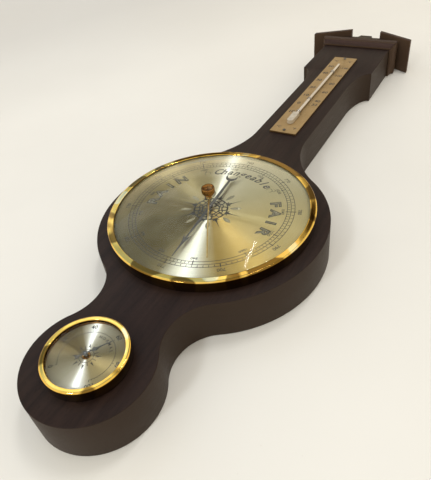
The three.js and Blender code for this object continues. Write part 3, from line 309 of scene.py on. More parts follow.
def brushed_dial(name, seat, cones):
    """Spun metal: rings brushed about the dial's centre, with light and dark cones.

    The brushing gathers some light into cones by itself. The rest of each cone is painted, from angles in
    degrees clockwise from the top, each with its colour."""
    finish = Finish(name)
    place = finish.add("ShaderNodeVectorMath", {0: finish.place(), 1: seat}, operation="SUBTRACT").outputs[0]
    axes = finish.add("ShaderNodeSeparateXYZ", {0: place})
    across = finish.math("MULTIPLY", axes.outputs["X"], axes.outputs["X"])
    up = finish.math("MULTIPLY", axes.outputs["Y"], axes.outputs["Y"])
    radius = finish.math("SQRT", finish.math("ADD", across, up))
    angle = finish.math("ARCTAN2", axes.outputs["X"], axes.outputs["Y"])
    share = finish.math("FRACT", finish.math("ADD", finish.math("DIVIDE", angle, tau), 1.0))
    base = finish.ramp(share, [(degrees / 360, colour(*shade)) for degrees, shade in cones])
    turn = finish.add("ShaderNodeCombineXYZ", {"X": radius, "Y": finish.math("MULTIPLY", angle, 0.002)})
    streak = finish.noise(turn.outputs[0], 2600, 3)
    mottle = finish.noise(finish.place(), 45, 3)
    base = finish.mix(finish.span(streak, 0.3, 0.7, 0.0, 0.16), base, colour(120, 106, 70))
    base = finish.mix(finish.span(mottle, 0.3, 0.7, 0.0, 0.12), base, colour(226, 214, 180))
    fine = {"W": radius, "Scale": 9000.0, "Detail": 2.0}
    lines = finish.add("ShaderNodeTexNoise", fine, noise_dimensions="1D")
    rough = finish.span(lines.outputs["Fac"], 0.3, 0.7, 0.46, 0.54)
    tangent = finish.add("ShaderNodeTangent", direction_type="RADIAL", axis="Z").outputs[0]
    finish.feed(finish.shader, {
        "Base Color": base,
        "Metallic": 0.9,
        "Roughness": rough,
        "Anisotropic": 1.0,
        "Anisotropic Rotation": 0.25,
        "Tangent": tangent,
    })
    finish.bump(streak, 0.000004, 0.2)
    return finish.material


# Painted reflections: each dial's light and dark cones, as angles clockwise from the top with their colours.
MAIN_CONES = [
    (0, (206, 198, 170)), (24, (202, 192, 158)), (90, (222, 206, 152)), (113, (196, 174, 116)),
    (120, (182, 156, 90)), (146, (174, 148, 84)), (153, (206, 194, 158)), (160, (240, 238, 226)),
    (172, (232, 228, 208)), (180, (142, 130, 92)), (190, (104, 94, 62)), (226, (108, 98, 66)),
    (240, (128, 117, 82)), (290, (136, 124, 86)), (330, (166, 154, 118)), (340, (206, 198, 172)),
    (346, (238, 236, 226)), (352, (212, 204, 178)), (360, (206, 198, 170)),
]
HYGRO_CONES = [
    (0, (180, 174, 154)), (20, (160, 152, 128)), (60, (142, 130, 98)), (100, (178, 160, 114)),
    (130, (170, 154, 114)), (140, (210, 202, 182)), (150, (252, 251, 246)), (162, (252, 251, 246)),
    (171, (216, 210, 194)), (190, (182, 174, 152)), (230, (144, 134, 106)), (262, (112, 98, 66)),
    (296, (110, 96, 64)), (311, (132, 120, 88)), (320, (206, 200, 182)), (329, (252, 251, 246)),
    (339, (252, 251, 246)), (347, (208, 202, 184)), (360, (180, 174, 154)),
]


def plate_brass():
    """The thermometer's flat brass plate, dulled to ochre. Its upright cut edges are painted darker, a
    painted shade.
    """
    finish = Finish("plate_brass")
    cloud = finish.noise(finish.place(), 70, 5, 0.65)
    brush = finish.noise(finish.place((1, 0.04, 1)), 2400, 3)
    base = finish.mix(finish.span(cloud, 0.3, 0.7), colour(160, 132, 88), colour(142, 114, 70))
    base = finish.mix(finish.span(brush, 0.35, 0.65, 0.0, 0.35), base, colour(178, 152, 108))
    # Painted shade: the plate's upright cut edges are painted dark brown.
    base = finish.mix(finish.span(finish.facing_up(), 0.2, 0.8, 0.85, 0.0), base, colour(74, 50, 26))
    rough = finish.span(cloud, 0.3, 0.7, 0.4, 0.52)
    finish.feed(finish.shader, {"Base Color": base, "Metallic": 0.35, "Roughness": rough})
    finish.bump(brush, 0.00001, 0.3)
    return finish.material


def plain_metal(name, first, second, rough_low, rough_high, metallic=1.0):
    """A worked metal surface with soft stains and fine brushing."""
    finish = Finish(name)
    cloud = finish.noise(finish.place(), 180, 4, 0.6)
    brush = finish.noise(finish.place((1, 0.1, 1)), 3200, 2)
    base = finish.mix(finish.span(cloud, 0.35, 0.65), first, second)
    rough = finish.span(brush, 0.3, 0.7, rough_low, rough_high)
    finish.feed(finish.shader, {"Base Color": base, "Metallic": metallic, "Roughness": rough})
    finish.bump(brush, 0.00001, 0.3)
    return finish.material


def clear_glass(name):
    """Thin clear glass. Its index is lower than real glass has, about 1.5, for a weaker reflection.

    Light from the lamps passes it unbent."""
    finish = Finish(name)
    smear = finish.noise(finish.place(), 60, 3)
    finish.feed(finish.shader, {
        "Base Color": colour(252, 254, 252),
        "Roughness": finish.span(smear, 0.4, 0.7, 0.01, 0.025),
        "Transmission Weight": 1.0,
        "IOR": 1.13,
    })
    path = finish.add("ShaderNodeLightPath")
    clear = finish.add("ShaderNodeBsdfTransparent", {"Color": (0.98, 0.985, 0.98, 1.0)})
    blend = finish.add("ShaderNodeMixShader", {0: path.outputs["Is Shadow Ray"]})
    finish.feed(blend, {1: finish.shader.outputs[0], 2: clear.outputs[0]})
    finish.feed(finish.output, {"Surface": blend.outputs[0]})
    return finish.material


def enamelled_tube():
    """The thermometer's stem as white enamel, its sides painted darker as a painted shade. It is opaque and
    hides the liquid.
    """
    finish = Finish("enamelled_tube")
    smear = finish.noise(finish.place((1, 0.1, 1)), 300, 2)
    streak = finish.span(smear, 0.3, 0.7)
    base = finish.mix(streak, colour(200, 188, 172), colour(176, 164, 148))
    # Painted shade: the tube's upright sides are painted dark brown.
    base = finish.mix(finish.span(finish.facing_up(), 0.0, 0.6, 0.85, 0.0), base, colour(96, 82, 62))
    finish.feed(finish.shader, {
        "Base Color": base,
        "Roughness": finish.span(smear, 0.3, 0.7, 0.05, 0.12),
        "Coat Weight": 1.0,
        "Coat Roughness": 0.03,
    })
    return finish.material


def enamel(name, first, second, rough=0.3):
    """Baked paint on sheet metal, slightly orange-peeled."""
    finish = Finish(name)
    cloud = finish.noise(finish.place(), 240, 4)
    base = finish.mix(finish.span(cloud, 0.35, 0.65), first, second)
    settings = {"Base Color": base, "Roughness": finish.span(cloud, 0.3, 0.7, rough, rough + 0.12)}
    finish.feed(finish.shader, settings)
    finish.bump(finish.noise(finish.place(), 1800, 2), 0.00002, 0.2)
    return finish.material


def ink(name, first, second):
    """Printed ink, a little uneven in its cover."""
    finish = Finish(name)
    cover = finish.noise(finish.place(), 900, 3)
    base = finish.mix(finish.span(cover, 0.35, 0.7), first, second)
    rough = finish.span(cover, 0.3, 0.7, 0.45, 0.6)
    finish.feed(finish.shader, {"Base Color": base, "Roughness": rough})
    return finish.material


def table_top():
    """A pale painted table with faint clouds and specks, painted a little darker towards the far left as a
    painted shade where less light falls.
    """
    finish = Finish("table_top")
    cloud = finish.noise(finish.place(), 3.5, 4)
    speck = finish.span(finish.noise(finish.place(), 230, 2), 0.74, 0.8, 0.0, 0.25)
    base = finish.mix(finish.span(cloud, 0.3, 0.7), colour(222, 219, 213), colour(228, 225, 219))
    base = finish.mix(speck, base, colour(196, 186, 172))
    # Painted shade: the table is painted greyer and darker towards the far left.
    leftward = {0: finish.place(), 1: (-0.9, 0.43, 0.0)}
    corner = finish.add("ShaderNodeVectorMath", leftward, operation="DOT_PRODUCT").outputs["Value"]
    base = finish.mix(finish.span(corner, 0.3, 0.65, 0.0, 0.5), base, colour(190, 188, 186))
    finish.feed(finish.shader, {"Base Color": base, "Roughness": finish.span(cloud, 0.3, 0.7, 0.42, 0.5)})
    finish.bump(finish.noise(finish.place(), 160, 3), 0.00008, 0.2)
    return finish.material


case_wood = wood("case_wood", 1)
# The cornice, its returns and the roof boards use the case's wood painted lighter, by 1.4 and 1.45: painted
# light that lifts these shadowed pieces.
cornice_wood_painted_lighter = wood("cornice_wood_painted_lighter", 0, 1.4)
return_wood_painted_lighter = wood("return_wood_painted_lighter", 1, 1.4)
roof_wood_painted_lighter = wood("roof_wood_painted_lighter", 0, 1.45)
brass = polished_brass()
marker_brass = plain_metal("marker_brass", colour(198, 172, 112), colour(166, 138, 80), 0.3, 0.42)
old_brass = knob_brass()
champagne = brushed_dial("champagne_dial", BAROMETER, MAIN_CONES)
silver = brushed_dial("silver_dial", HYGROMETER, HYGRO_CONES)
ochre = plate_brass()
black = plain_metal("black_steel", colour(76, 75, 72), colour(94, 91, 86), 0.3, 0.44, metallic=0.5)
steel = plain_metal("bright_steel", colour(190, 190, 192), colour(160, 160, 164), 0.25, 0.4)
tin = plain_metal("tinned_sheet", colour(186, 184, 178), colour(150, 148, 142), 0.32, 0.5)
works_brass = plain_metal("works_brass", colour(214, 170, 92), colour(192, 146, 70), 0.24, 0.38)
hanger_steel = plain_metal("hanger_steel", colour(196, 170, 104), colour(150, 142, 120), 0.35, 0.5)
coil_metal = plain_metal("coil_metal", colour(186, 140, 86), colour(150, 108, 64), 0.3, 0.45)
glass = clear_glass("dial_glass")
tube_glass = enamelled_tube()
guard_enamel = enamel("guard_enamel", colour(184, 174, 158), colour(166, 156, 140), 0.15)
liquid = plain_metal("thermometer_liquid", colour(92, 90, 96), colour(120, 118, 124), 0.15, 0.25)
dark_ink = ink("dark_ink", colour(38, 36, 34), colour(64, 58, 48))
grey_ink = ink("grey_ink", colour(112, 106, 86), colour(134, 126, 100))


# ---- Making pieces ----
def seated(seat):
    return Matrix.Translation(seat) @ Matrix.Scale(MM, 4)


def to_mesh(name, shape, seat, sharp=38):
    """The bmesh as a mesh in metres, smooth except where faces meet at more than sharp degrees."""
    shape.transform(seated(seat))
    bmesh.ops.recalc_face_normals(shape, faces=shape.faces)
    mesh = bpy.data.meshes.new(name)
    shape.to_mesh(mesh)
    shape.free()
    smooth(mesh, sharp)
    return mesh


def smooth(mesh, sharp=38):
    mesh.shade_smooth()
    mesh.set_sharp_from_angle(angle=radians(sharp))


def rounded(obj, width, segments=2):
    """Softens the piece's edges by width millimetres."""
    bevel = obj.modifiers.new("soft_edges", "BEVEL")
    bevel.width = width * MM
    bevel.segments = segments
    bevel.limit_method = "ANGLE"
    bevel.angle_limit = radians(40)
    bevel.harden_normals = True
    return obj


def piece(name, mesh, material, body, *nodes, slot=None):
    obj = bpy.data.objects.new(name, mesh)
    bpy.context.scene.collection.objects.link(obj)
    mesh.materials.clear()
    mesh.materials.append(material)
    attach(obj, body)
    if nodes:
        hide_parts(*nodes)
    return obj


def evaluated_mesh(obj):
    graph = bpy.context.evaluated_depsgraph_get()
    return bpy.data.meshes.new_from_object(obj.evaluated_get(graph))


def arc(x, y, radius, start, end, steps, rise=None):
    """Points on an arc, or on an ellipse's arc where rise is given."""
    return [
        (
            x + radius * cos(start + (end - start) * i / steps),
            y + (rise or radius) * sin(start + (end - start) * i / steps),
        )
        for i in range(steps + 1)
    ]


def circle(radius, steps=96, x=0.0, y=0.0):
    return arc(x, y, radius, 0, tau, steps)[:-1]


def flat_piece(name, outlines, bottom, top, seat, edge):
    """A sheet or board from a closed outline and its holes, with its edges rounded by edge."""
    curve = bpy.data.curves.new(name, "CURVE")
    curve.dimensions = "2D"
    curve.fill_mode = "BOTH"
    for points in outlines:
        spline = curve.splines.new("POLY")
        spline.points.add(len(points) - 1)
        for point, (x, y) in zip(spline.points, points):
            point.co = (x, y, 0, 1)
        spline.use_cyclic_u = True
    curve.extrude = (top - bottom) / 2 - edge
    curve.bevel_depth = edge
    curve.offset = -edge
    curve.bevel_resolution = 2
    maker = bpy.data.objects.new(name + "_maker", curve)
    bpy.context.scene.collection.objects.link(maker)
    bpy.context.view_layer.update()
    flat = evaluated_mesh(maker)
    bpy.data.objects.remove(maker)
    shape = bmesh.new()
    shape.from_mesh(flat)
    bpy.data.meshes.remove(flat)
    bmesh.ops.remove_doubles(shape, verts=shape.verts, dist=0.002)
    bmesh.ops.translate(shape, verts=shape.verts, vec=(0, 0, (bottom + top) / 2))
    return to_mesh(name, shape, seat)


def turned(name, profile, seat, segments=128, sharp=38):
    """A solid of revolution about Z. The profile is [radius, height] points round the section."""
    shape = bmesh.new()
    rings = []
    for radius, height in profile:
        if radius < 1e-6:
            rings.append([shape.verts.new((0, 0, height))])
            continue
        rings.append([
            shape.verts.new((radius * cos(tau * i / segments), radius * sin(tau * i / segments), height))
            for i in range(segments)
        ])
    closed = profile[0][0] > 1e-6
    pairs = list(zip(rings, rings[1:] + rings[:1])) if closed else list(zip(rings, rings[1:]))
    for low, high in pairs:
        join_rings(shape, low, high, segments)
    return to_mesh(name, shape, seat, sharp)


def join_rings(shape, low, high, segments):
    for i in range(segments):
        after = (i + 1) % segments
        if len(low) == 1 and len(high) > 1:
            shape.faces.new((low[0], high[i], high[after]))
        elif len(high) == 1 and len(low) > 1:
            shape.faces.new((low[i], low[after], high[0]))
        elif len(low) > 1:
            shape.faces.new((low[i], low[after], high[after], high[i]))


def bar(name, profile, start, end, seat):
    """A straight moulding. start and end turn a profile point into its place at either end."""
    shape = bmesh.new()
    first = [shape.verts.new(start(point)) for point in profile]
    last = [shape.verts.new(end(point)) for point in profile]
    shape.faces.new(first)
    shape.faces.new(list(reversed(last)))
    for i in range(len(profile)):
        after = (i + 1) % len(profile)
        shape.faces.new((first[i], first[after], last[after], last[i]))
    return to_mesh(name, shape, seat, 30)


def welded_copy(node):
    """A CAD node's mesh with its corners joined and its flat faces whole, ready for soft edges."""
    shape = bmesh.new()
    shape.from_mesh(frame["nodes"][node].data)
    bmesh.ops.remove_doubles(shape, verts=shape.verts, dist=2e-6)
    bmesh.ops.dissolve_limit(shape, angle_limit=radians(1), verts=shape.verts, edges=shape.edges)
    mesh = bpy.data.meshes.new(node + "_fine")
    shape.to_mesh(mesh)
    shape.free()
    smooth(mesh)
    return mesh


def body_of(node):
    bodies = frame["record"]["behaviour"]["bodies"]
    return next(body for body, members in bodies.items() if node in members)


def softened(node, material, width, slot):
    """A CAD node shown with soft edges and its own finish."""
    obj = piece(node + "_fine", welded_copy(node), material, body_of(node), node, slot=slot)
    return rounded(obj, width)


# ---- Case ----
def case_outline():
    body_to_waist = BODY_RADIUS + WAIST_RADIUS
    foot_to_waist = FOOT_RADIUS + WAIST_RADIUS
    waist_y = -(body_to_waist**2 - foot_to_waist**2 + FOOT_DISTANCE**2) / (2 * FOOT_DISTANCE)
    waist_x = sqrt(body_to_waist**2 - waist_y**2)
    fillet_x = NECK_HALF + NECK_FILLET
    fillet_y = sqrt((BODY_RADIUS + NECK_FILLET) ** 2 - fillet_x**2)
    foot_end = atan2(waist_y + FOOT_DISTANCE, waist_x)
    body_start = atan2(waist_y, waist_x)
    body_end = atan2(fillet_y, fillet_x)
    slope = (ROOF_INNER[1] - ROOF_OUTER[1]) / (ROOF_OUTER[0] - ROOF_INNER[0])

    def roof_underside(x):
        return ROOF_INNER[1] - slope * (x - ROOF_INNER[0]) - ROOF_THICKNESS - GAP

    shoulder = BLOCK_HALF - NECK_HALF
    scoop = [
        (SCOOP_HALF - (SCOOP_HALF - TAB_HALF) * sin(pi / 2 * i / 8),
         TAB_TOP - (TAB_TOP - SCOOP_LEVEL) * cos(pi / 2 * i / 8))
        for i in range(9)
    ]
    half = [
        *arc(0, -FOOT_DISTANCE, FOOT_RADIUS, -pi / 2, foot_end, 48),
        *arc(waist_x, waist_y, WAIST_RADIUS, foot_end + pi, body_start + pi, 30)[1:],
        *arc(0, 0, BODY_RADIUS, body_start, body_end, 72)[1:],
        *arc(fillet_x, fillet_y, NECK_FILLET, body_end + pi, pi, 30)[1:],
        *arc(BLOCK_HALF, BLOCK_START - SHOULDER_RISE, shoulder, pi, pi / 2, 24, SHOULDER_RISE),
        (BLOCK_HALF, roof_underside(BLOCK_HALF)),
        (ROOF_INNER[0], roof_underside(ROOF_INNER[0])),
        (ROOF_INNER[0], SCOOP_LEVEL),
        *scoop,
    ]
    return half + [(-x, y) for x, y in reversed(half)][:-1]


def box_shape(shape, low, high):
    size = Vector(high) - Vector(low)
    centre = (Vector(high) + Vector(low)) / 2
    matrix = Matrix.Translation(centre) @ Matrix.Diagonal((*size, 1))
    return bmesh.ops.create_cube(shape, size=1, matrix=matrix)


def carve(obj, cutters):
    """Takes the cutters' solids out of obj's mesh for good."""
    for cutter in cutters:
        boolean = obj.modifiers.new("cut", "BOOLEAN")
        boolean.operation = "DIFFERENCE"
        boolean.solver = "EXACT"
        boolean.object = cutter
    bpy.context.view_layer.update()
    carved = evaluated_mesh(obj)
    obj.modifiers.clear()
    old = obj.data
    obj.data = carved
    bpy.data.meshes.remove(old)
    smooth(carved)
    for cutter in cutters:
        bpy.data.objects.remove(cutter)


def cutter(name, mesh):
    obj = bpy.data.objects.new(name, mesh)
    bpy.context.scene.collection.objects.link(obj)
    return obj


def add_case():
    holes = [circle(CAN_BORE, 120), circle(HYGRO_BORE, 64, 0, -FOOT_DISTANCE)]
    outlines = [case_outline(), *holes]
    mesh = flat_piece("case_board_fine", outlines, -THICKNESS, 0, BAROMETER, CASE_EDGE)
    board = bpy.data.objects.new("case_board_fine", mesh)
    bpy.context.scene.collection.objects.link(board)
    pocket = bmesh.new()
    low = (-HANGER_POCKET_HALF, HANGER_Y - HANGER_POCKET_RISE, -THICKNESS - 3)
    high = (HANGER_POCKET_HALF, HANGER_Y + HANGER_POCKET_RISE, -THICKNESS + HANGER_POCKET_DEPTH)
    box_shape(pocket, low, high)
    pocket_mesh = to_mesh("pocket", pocket, BAROMETER)
    hook_seat = BAROMETER + Vector((0, HANGER_Y, -THICKNESS)) * MM
    hook = [(0, -4), (HOOK_RADIUS, -4), (HOOK_RADIUS, HOOK_DEPTH), (0, HOOK_DEPTH)]
    hook_mesh = turned("hook", hook, hook_seat, 48)
    carve(board, [cutter("pocket", pocket_mesh), cutter("hook", hook_mesh)])
    board.data.materials.clear()
    board.data.materials.append(case_wood)
    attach(board, "case")
    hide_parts("case_board")


def cornice_profile():
    """How far out the moulding stands, and how far up the case, from the lower band to the top slope."""
    foot = CORNICE_BOTTOM + CORNICE_BAND
    reach = CORNICE_REACH - CORNICE_STEP
    rise = CORNICE_HOLLOW
    hollow = [
        (CORNICE_STEP + reach * (1 - cos(pi / 2 * i / 12)), foot + rise * sin(pi / 2 * i / 12))
        for i in range(1, 13)
    ]
    return [
        (GAP, CORNICE_BOTTOM),
        (CORNICE_STEP, CORNICE_BOTTOM),
        (CORNICE_STEP, foot),
        *hollow,
        (CORNICE_REACH, foot + rise + CORNICE_SLOPE_START),
        (CORNICE_TOP_REACH, foot + rise + CORNICE_SLOPE_END),
        (GAP, foot + rise + CORNICE_SLOPE_END),
    ]


def add_cornice():
    mitre = GAP / 2

    def corner(side):
        return lambda point: (side * (BLOCK_HALF + point[0] - mitre), point[1], point[0])

    profile = cornice_profile()
    front = bar("cornice_front_fine", profile, corner(-1), corner(1), BAROMETER)
    rounded(piece("cornice_front_fine", front, cornice_wood_painted_lighter, "case", "cornice_front", slot="case_wood"), 0.25)
    for side, name in ((1, "right"), (-1, "left")):
        node = "cornice_return_" + name

        def end(height):
            return lambda point: (side * (BLOCK_HALF + point[0]), point[1], height(point[0]))

        front_end = end(lambda out: out - mitre * 2)
        back_end = end(lambda out: -THICKNESS)
        mesh = bar(node + "_fine", profile, front_end, back_end, BAROMETER)
        rounded(piece(node + "_fine", mesh, return_wood_painted_lighter, "case", node, slot="case_wood"), 0.25)


def add_roof():
    for side, name in ((1, "right"), (-1, "left")):
        node = "roof_board_" + name
        section = [
            (ROOF_OUTER[0], ROOF_OUTER[1] - ROOF_THICKNESS),
            ROOF_OUTER,
            ROOF_INNER,
            (ROOF_INNER[0], ROOF_INNER[1] - ROOF_THICKNESS),
        ]

        def end(height):
            return lambda point: (side * point[0], point[1], height)

        mesh = bar(node + "_fine", section, end(-THICKNESS), end(ROOF_OVERHANG), BAROMETER)
        rounded(piece(node + "_fine", mesh, roof_wood_painted_lighter, "case", node, slot="case_wood"), 0.5, 3)


# ---- Glass and brass ----
def dome_height(radius, edge_radius, edge, apex):
    rise = apex - edge
    sphere = (edge_radius**2 + rise**2) / (2 * rise)
    return apex - sphere + sqrt(sphere**2 - radius**2)


def domed_glass(outer, dome_edge, rim_bottom, rim_top, apex, thickness, hole, steps):
    def dome(lower):
        radii = [dome_edge + (hole - dome_edge) * i / steps for i in range(steps + 1)]
        return [(radius, dome_height(radius, dome_edge, rim_top, apex) - lower) for radius in radii]

    underside = list(reversed(dome(thickness)[1:]))
    return [*underside, (dome_edge - 0.6, rim_bottom), (outer, rim_bottom), (outer, rim_top), *dome(0)]


def bezel_profile(outer, top, opening, seat_height, wall):
    """Spun ring: upright wall, rounded shoulder, broad flat band on top, rolled lip."""
    shoulder = 1.05
    lip = 0.4
    return [
        (wall, GAP),
        (outer - 0.2, GAP),
        (outer, GAP + 0.25),
        (outer, top - shoulder - 0.6),
        *arc(outer - shoulder, top - shoulder, shoulder, 0, pi / 2, 8),
        (outer - shoulder - 0.35, top),
        (opening + lip + 0.35, top),
        *arc(opening + lip, top - lip, lip, pi / 2, pi, 5),
        (opening, seat_height),
        (wall, seat_height),
    ]


def add_main_housing():
    profile = bezel_profile(BEZEL_RADIUS, BEZEL_TOP, BEZEL_OPENING, GLASS_RIM_TOP + GAP, BEZEL_RADIUS - 2.3)
    mesh = turned("main_bezel_fine", profile, BAROMETER, 192, 50)
    piece("main_bezel_fine", mesh, brass, "case", "main_bezel", slot="polished_brass")
    profile = domed_glass(BEZEL_RADIUS - 3, GLASS_EDGE, DIAL_TOP + GAP, GLASS_RIM_TOP, GLASS_APEX,
                          GLASS_THICKNESS, GLASS_HOLE, 56)
    mesh = turned("main_glass_fine", profile, BAROMETER, 288)
    piece("main_glass_fine", mesh, glass, "case", "main_glass", slot="dial_glass")
    outlines = [circle(DIAL_RADIUS, 160), circle(3, 32)]
    mesh = flat_piece("main_dial_fine", outlines, DIAL_TOP - DIAL_THICKNESS, DIAL_TOP, BAROMETER, 0.1)
    piece("main_dial_fine", mesh, champagne, "case", "main_dial", slot="dial_metal")


def add_set_hand():
    """The marker: a bent strip under the glass, and a knurled knob on top of it."""
    underside = GLASS_THICKNESS + 0.9
    shape = bmesh.new()
    steps = 48
    rows = []
    for i in range(steps + 1):
        radius = SET_HAND_LENGTH * i / steps
        top = dome_height(radius, GLASS_EDGE, GLASS_RIM_TOP, GLASS_APEX) - underside
        half = 0.55 - 0.15 * max(0.0, i / steps - 0.8) / 0.2
        corners = ((-half, top - 0.3), (half, top - 0.3), (half * 0.7, top), (-half * 0.7, top))
        rows.append([shape.verts.new((x, radius, z)) for x, z in corners])
    for near, far in zip(rows, rows[1:]):
        for k in range(4):
            shape.faces.new((near[k], near[(k + 1) % 4], far[(k + 1) % 4], far[k]))
    shape.faces.new(rows[0])
    shape.faces.new(list(reversed(rows[-1])))
    bmesh.ops.rotate(shape, verts=shape.verts, matrix=Matrix.Rotation(-radians(SET_HAND_REST), 3, "Z"))
    mesh = to_mesh("set_hand_blade", shape, BAROMETER)
    piece("set_hand_blade", mesh, marker_brass, "set_hand", "set_hand", slot="polished_brass")
    crown = GLASS_APEX - underside
    hub = [
        (1.1, crown - 0.9), (2.1, crown - 0.9), (2.3, crown - 0.7), (2.3, crown - 0.2), (2.1, crown),
        (1.1, crown),
    ]
    hub_mesh = turned("set_hand_hub", hub, BAROMETER, 40)
    piece("set_hand_hub", hub_mesh, marker_brass, "set_hand", slot="polished_brass")

    teeth = 36
    low, high, wide = KNOB_BOTTOM, KNOB_TOP, KNOB_RADIUS
    profile = [
        (0.0, low + 2.5), (1.5, low + 2.5), (1.5, low), (wide - 1.1, low), (wide - 0.35, low + 0.35),
        (wide, low + 1.0), (wide, high - 0.45), (wide - 0.3, high), (wide - 1.1, high),
        (wide - 1.45, high - 0.5), (wide - 1.8, high - 1.2), (wide - 2.6, high - 1.4), (0.0, high - 1.5),
    ]
    mesh = turned("set_knob_fine", profile, ORIGIN, teeth * 4, 34)
    for vertex in mesh.vertices:
        x, y, z = vertex.co / MM
        radius = sqrt(x * x + y * y)
        if radius > wide - 0.1:
            cut = 0.2 * (0.5 + 0.5 * cos(atan2(y, x) * teeth))
            vertex.co = Vector((x, y, 0)) * (1 - cut / radius) * MM + Vector((0, 0, z)) * MM
        vertex.co += BAROMETER
    piece("set_knob_fine", mesh, old_brass, "set_hand", "set_knob", slot="polished_brass")


def add_hygrometer():
    profile = bezel_profile(HYGRO_BEZEL_RADIUS, HYGRO_BEZEL_TOP, HYGRO_BEZEL_OPENING, HYGRO_BEZEL_SEAT,
                            HYGRO_BEZEL_RADIUS - 1.1)
    mesh = turned("hygro_bezel_fine", profile, HYGROMETER, 128, 50)
    piece("hygro_bezel_fine", mesh, brass, "case", "hygro_bezel", slot="polished_brass")
    profile = domed_glass(HYGRO_BEZEL_RADIUS - 1.4, HYGRO_GLASS_EDGE, HYGRO_GLASS_BOTTOM,
                          HYGRO_GLASS_RIM_TOP, HYGRO_GLASS_APEX, HYGRO_GLASS_THICKNESS, 0, 20)
    mesh = turned("hygro_glass_fine", profile, HYGROMETER, 96)
    piece("hygro_glass_fine", mesh, glass, "case", "hygro_glass", slot="dial_glass")
    outlines = [circle(HYGRO_DIAL_RADIUS, 112), circle(2, 24)]
    bottom = HYGRO_DIAL_TOP - DIAL_THICKNESS
    mesh = flat_piece("hygro_dial_fine", outlines, bottom, HYGRO_DIAL_TOP, HYGROMETER, 0.1)
    piece("hygro_dial_fine", mesh, silver, "case", "hygro_dial", slot="hygro_dial_metal")


# ---- Printing ----
PRINT_THICKNESS = 0.02


def clockwise(angle, radius):
    """A point at an angle clockwise from the top of a dial."""
    return (radius * sin(radians(angle)), radius * cos(radians(angle)))


class Print:
    """Ink shapes on a flat face, gathered into one piece."""

    def __init__(self):
        self.shape = bmesh.new()

    def polygon(self, points):
        self.shape.faces.new([self.shape.verts.new((x, y, 0)) for x, y in points])

    def line(self, start, end, width):
        (x0, y0), (x1, y1) = start, end
        length = sqrt((x1 - x0) ** 2 + (y1 - y0) ** 2)
        x, y = -(y1 - y0) / length * width / 2, (x1 - x0) / length * width / 2
        self.polygon([(x0 + x, y0 + y), (x0 - x, y0 - y), (x1 - x, y1 - y), (x1 + x, y1 + y)])

    def tick(self, angle, inner, outer, width):
        self.line(clockwise(angle, inner), clockwise(angle, outer), width)

    def ring(self, radius, width, start=0.0, end=360.0, x=0.0, y=0.0):
        steps = max(12, int((end - start) * max(radius, 4) / 25))
        for i in range(steps):
            a, b = (start + (end - start) * (i + k) / steps for k in (0, 1))
            corners = [clockwise(a, radius - width / 2), clockwise(a, radius + width / 2),
                       clockwise(b, radius + width / 2), clockwise(b, radius - width / 2)]
            self.polygon([(x + px, y + py) for px, py in corners])

    def text(self, words, size, x, y, turn=0.0, bold=0.0, shear=0.0, stretch=1.0):
        """Words centred on a point and turned clockwise by turn degrees."""
        curve = bpy.data.curves.new("letters", "FONT")
        curve.body = words
        curve.size = size
        curve.align_x = "CENTER"
        curve.align_y = "CENTER"
        curve.offset = bold
        curve.shear = shear
        curve.resolution_u = 3
        maker = bpy.data.objects.new("letters", curve)
        bpy.context.scene.collection.objects.link(maker)
        bpy.context.view_layer.update()
        flat = evaluated_mesh(maker)
        bpy.data.objects.remove(maker)
        bpy.data.curves.remove(curve)
        flat.transform(Matrix.Translation((x, y, 0)) @ Matrix.Rotation(-radians(turn), 4, "Z")
                       @ Matrix.Diagonal((stretch, 1, 1, 1)))
        self.shape.from_mesh(flat)
        bpy.data.meshes.remove(flat)

    def arched(self, words, size, radius, start, end, **style):
        """Letters one by one along an arc, their tops outwards."""
        for i, letter in enumerate(words):
            angle = start + (end - start) * (i + 0.5) / len(words)
            x, y = clockwise(angle, radius)
            self.text(letter, size, x, y, angle, **style)

    def finish(self, name, height, seat, material, slot):
        bmesh.ops.remove_doubles(self.shape, verts=self.shape.verts, dist=0.0005)
        bmesh.ops.translate(self.shape, verts=self.shape.verts, vec=(0, 0, height))
        for face in self.shape.faces:
            face.normal_update()
            if face.normal.z < 0:
                face.normal_flip()
        self.shape.transform(seated(seat))
        mesh = bpy.data.meshes.new(name)
        self.shape.to_mesh(mesh)
        self.shape.free()
        obj = piece(name, mesh, material, "case", slot=slot)
        solid = obj.modifiers.new("ink_layer", "SOLIDIFY")
        solid.thickness = PRINT_THICKNESS * MM
        solid.offset = 1
        return obj


SCALE_RINGS = (61.8, 59.1, 56.4)
MERCURY_START = 144
PASCAL_START = 162
FIGURES_OUTSIDE = 65.2
FIGURES_INSIDE = 53.2
WORD_SIZE = 10.5
WORD_RADIUS = 47.6


def print_scales(dark):
    """Two scales that share three rings: millimetres of mercury outside, hectopascals inside."""
    outer, between, inner = SCALE_RINGS
    for radius in SCALE_RINGS:
        dark.ring(radius, 0.45)
    for i in range(100):
        long = i % 10 == 0
        start = between if i % 5 == 0 else between + 0.7
        dark.tick(MERCURY_START + 3.6 * i, start, outer + 1 if long else outer, 0.7 if long else 0.42)
    for i in range(121):
        long = i % 10 == 0
        end = between if i % 5 == 0 else between - 0.7
        dark.tick(PASCAL_START + 2.7 * i, inner - 1 if long else inner, end, 0.7 if long else 0.42)
    for i in range(10):
        angle = MERCURY_START + 36 * i
        x, y = clockwise(angle, FIGURES_OUTSIDE)
        dark.text(str(700 + 10 * i), 4.0, x, y, angle, bold=0.05)
    for i in range(13):
        angle = PASCAL_START + 27 * i
        x, y = clockwise(angle, FIGURES_INSIDE)
        dark.text(str(940 + 10 * i), 3.4, x, y, angle, bold=0.04)


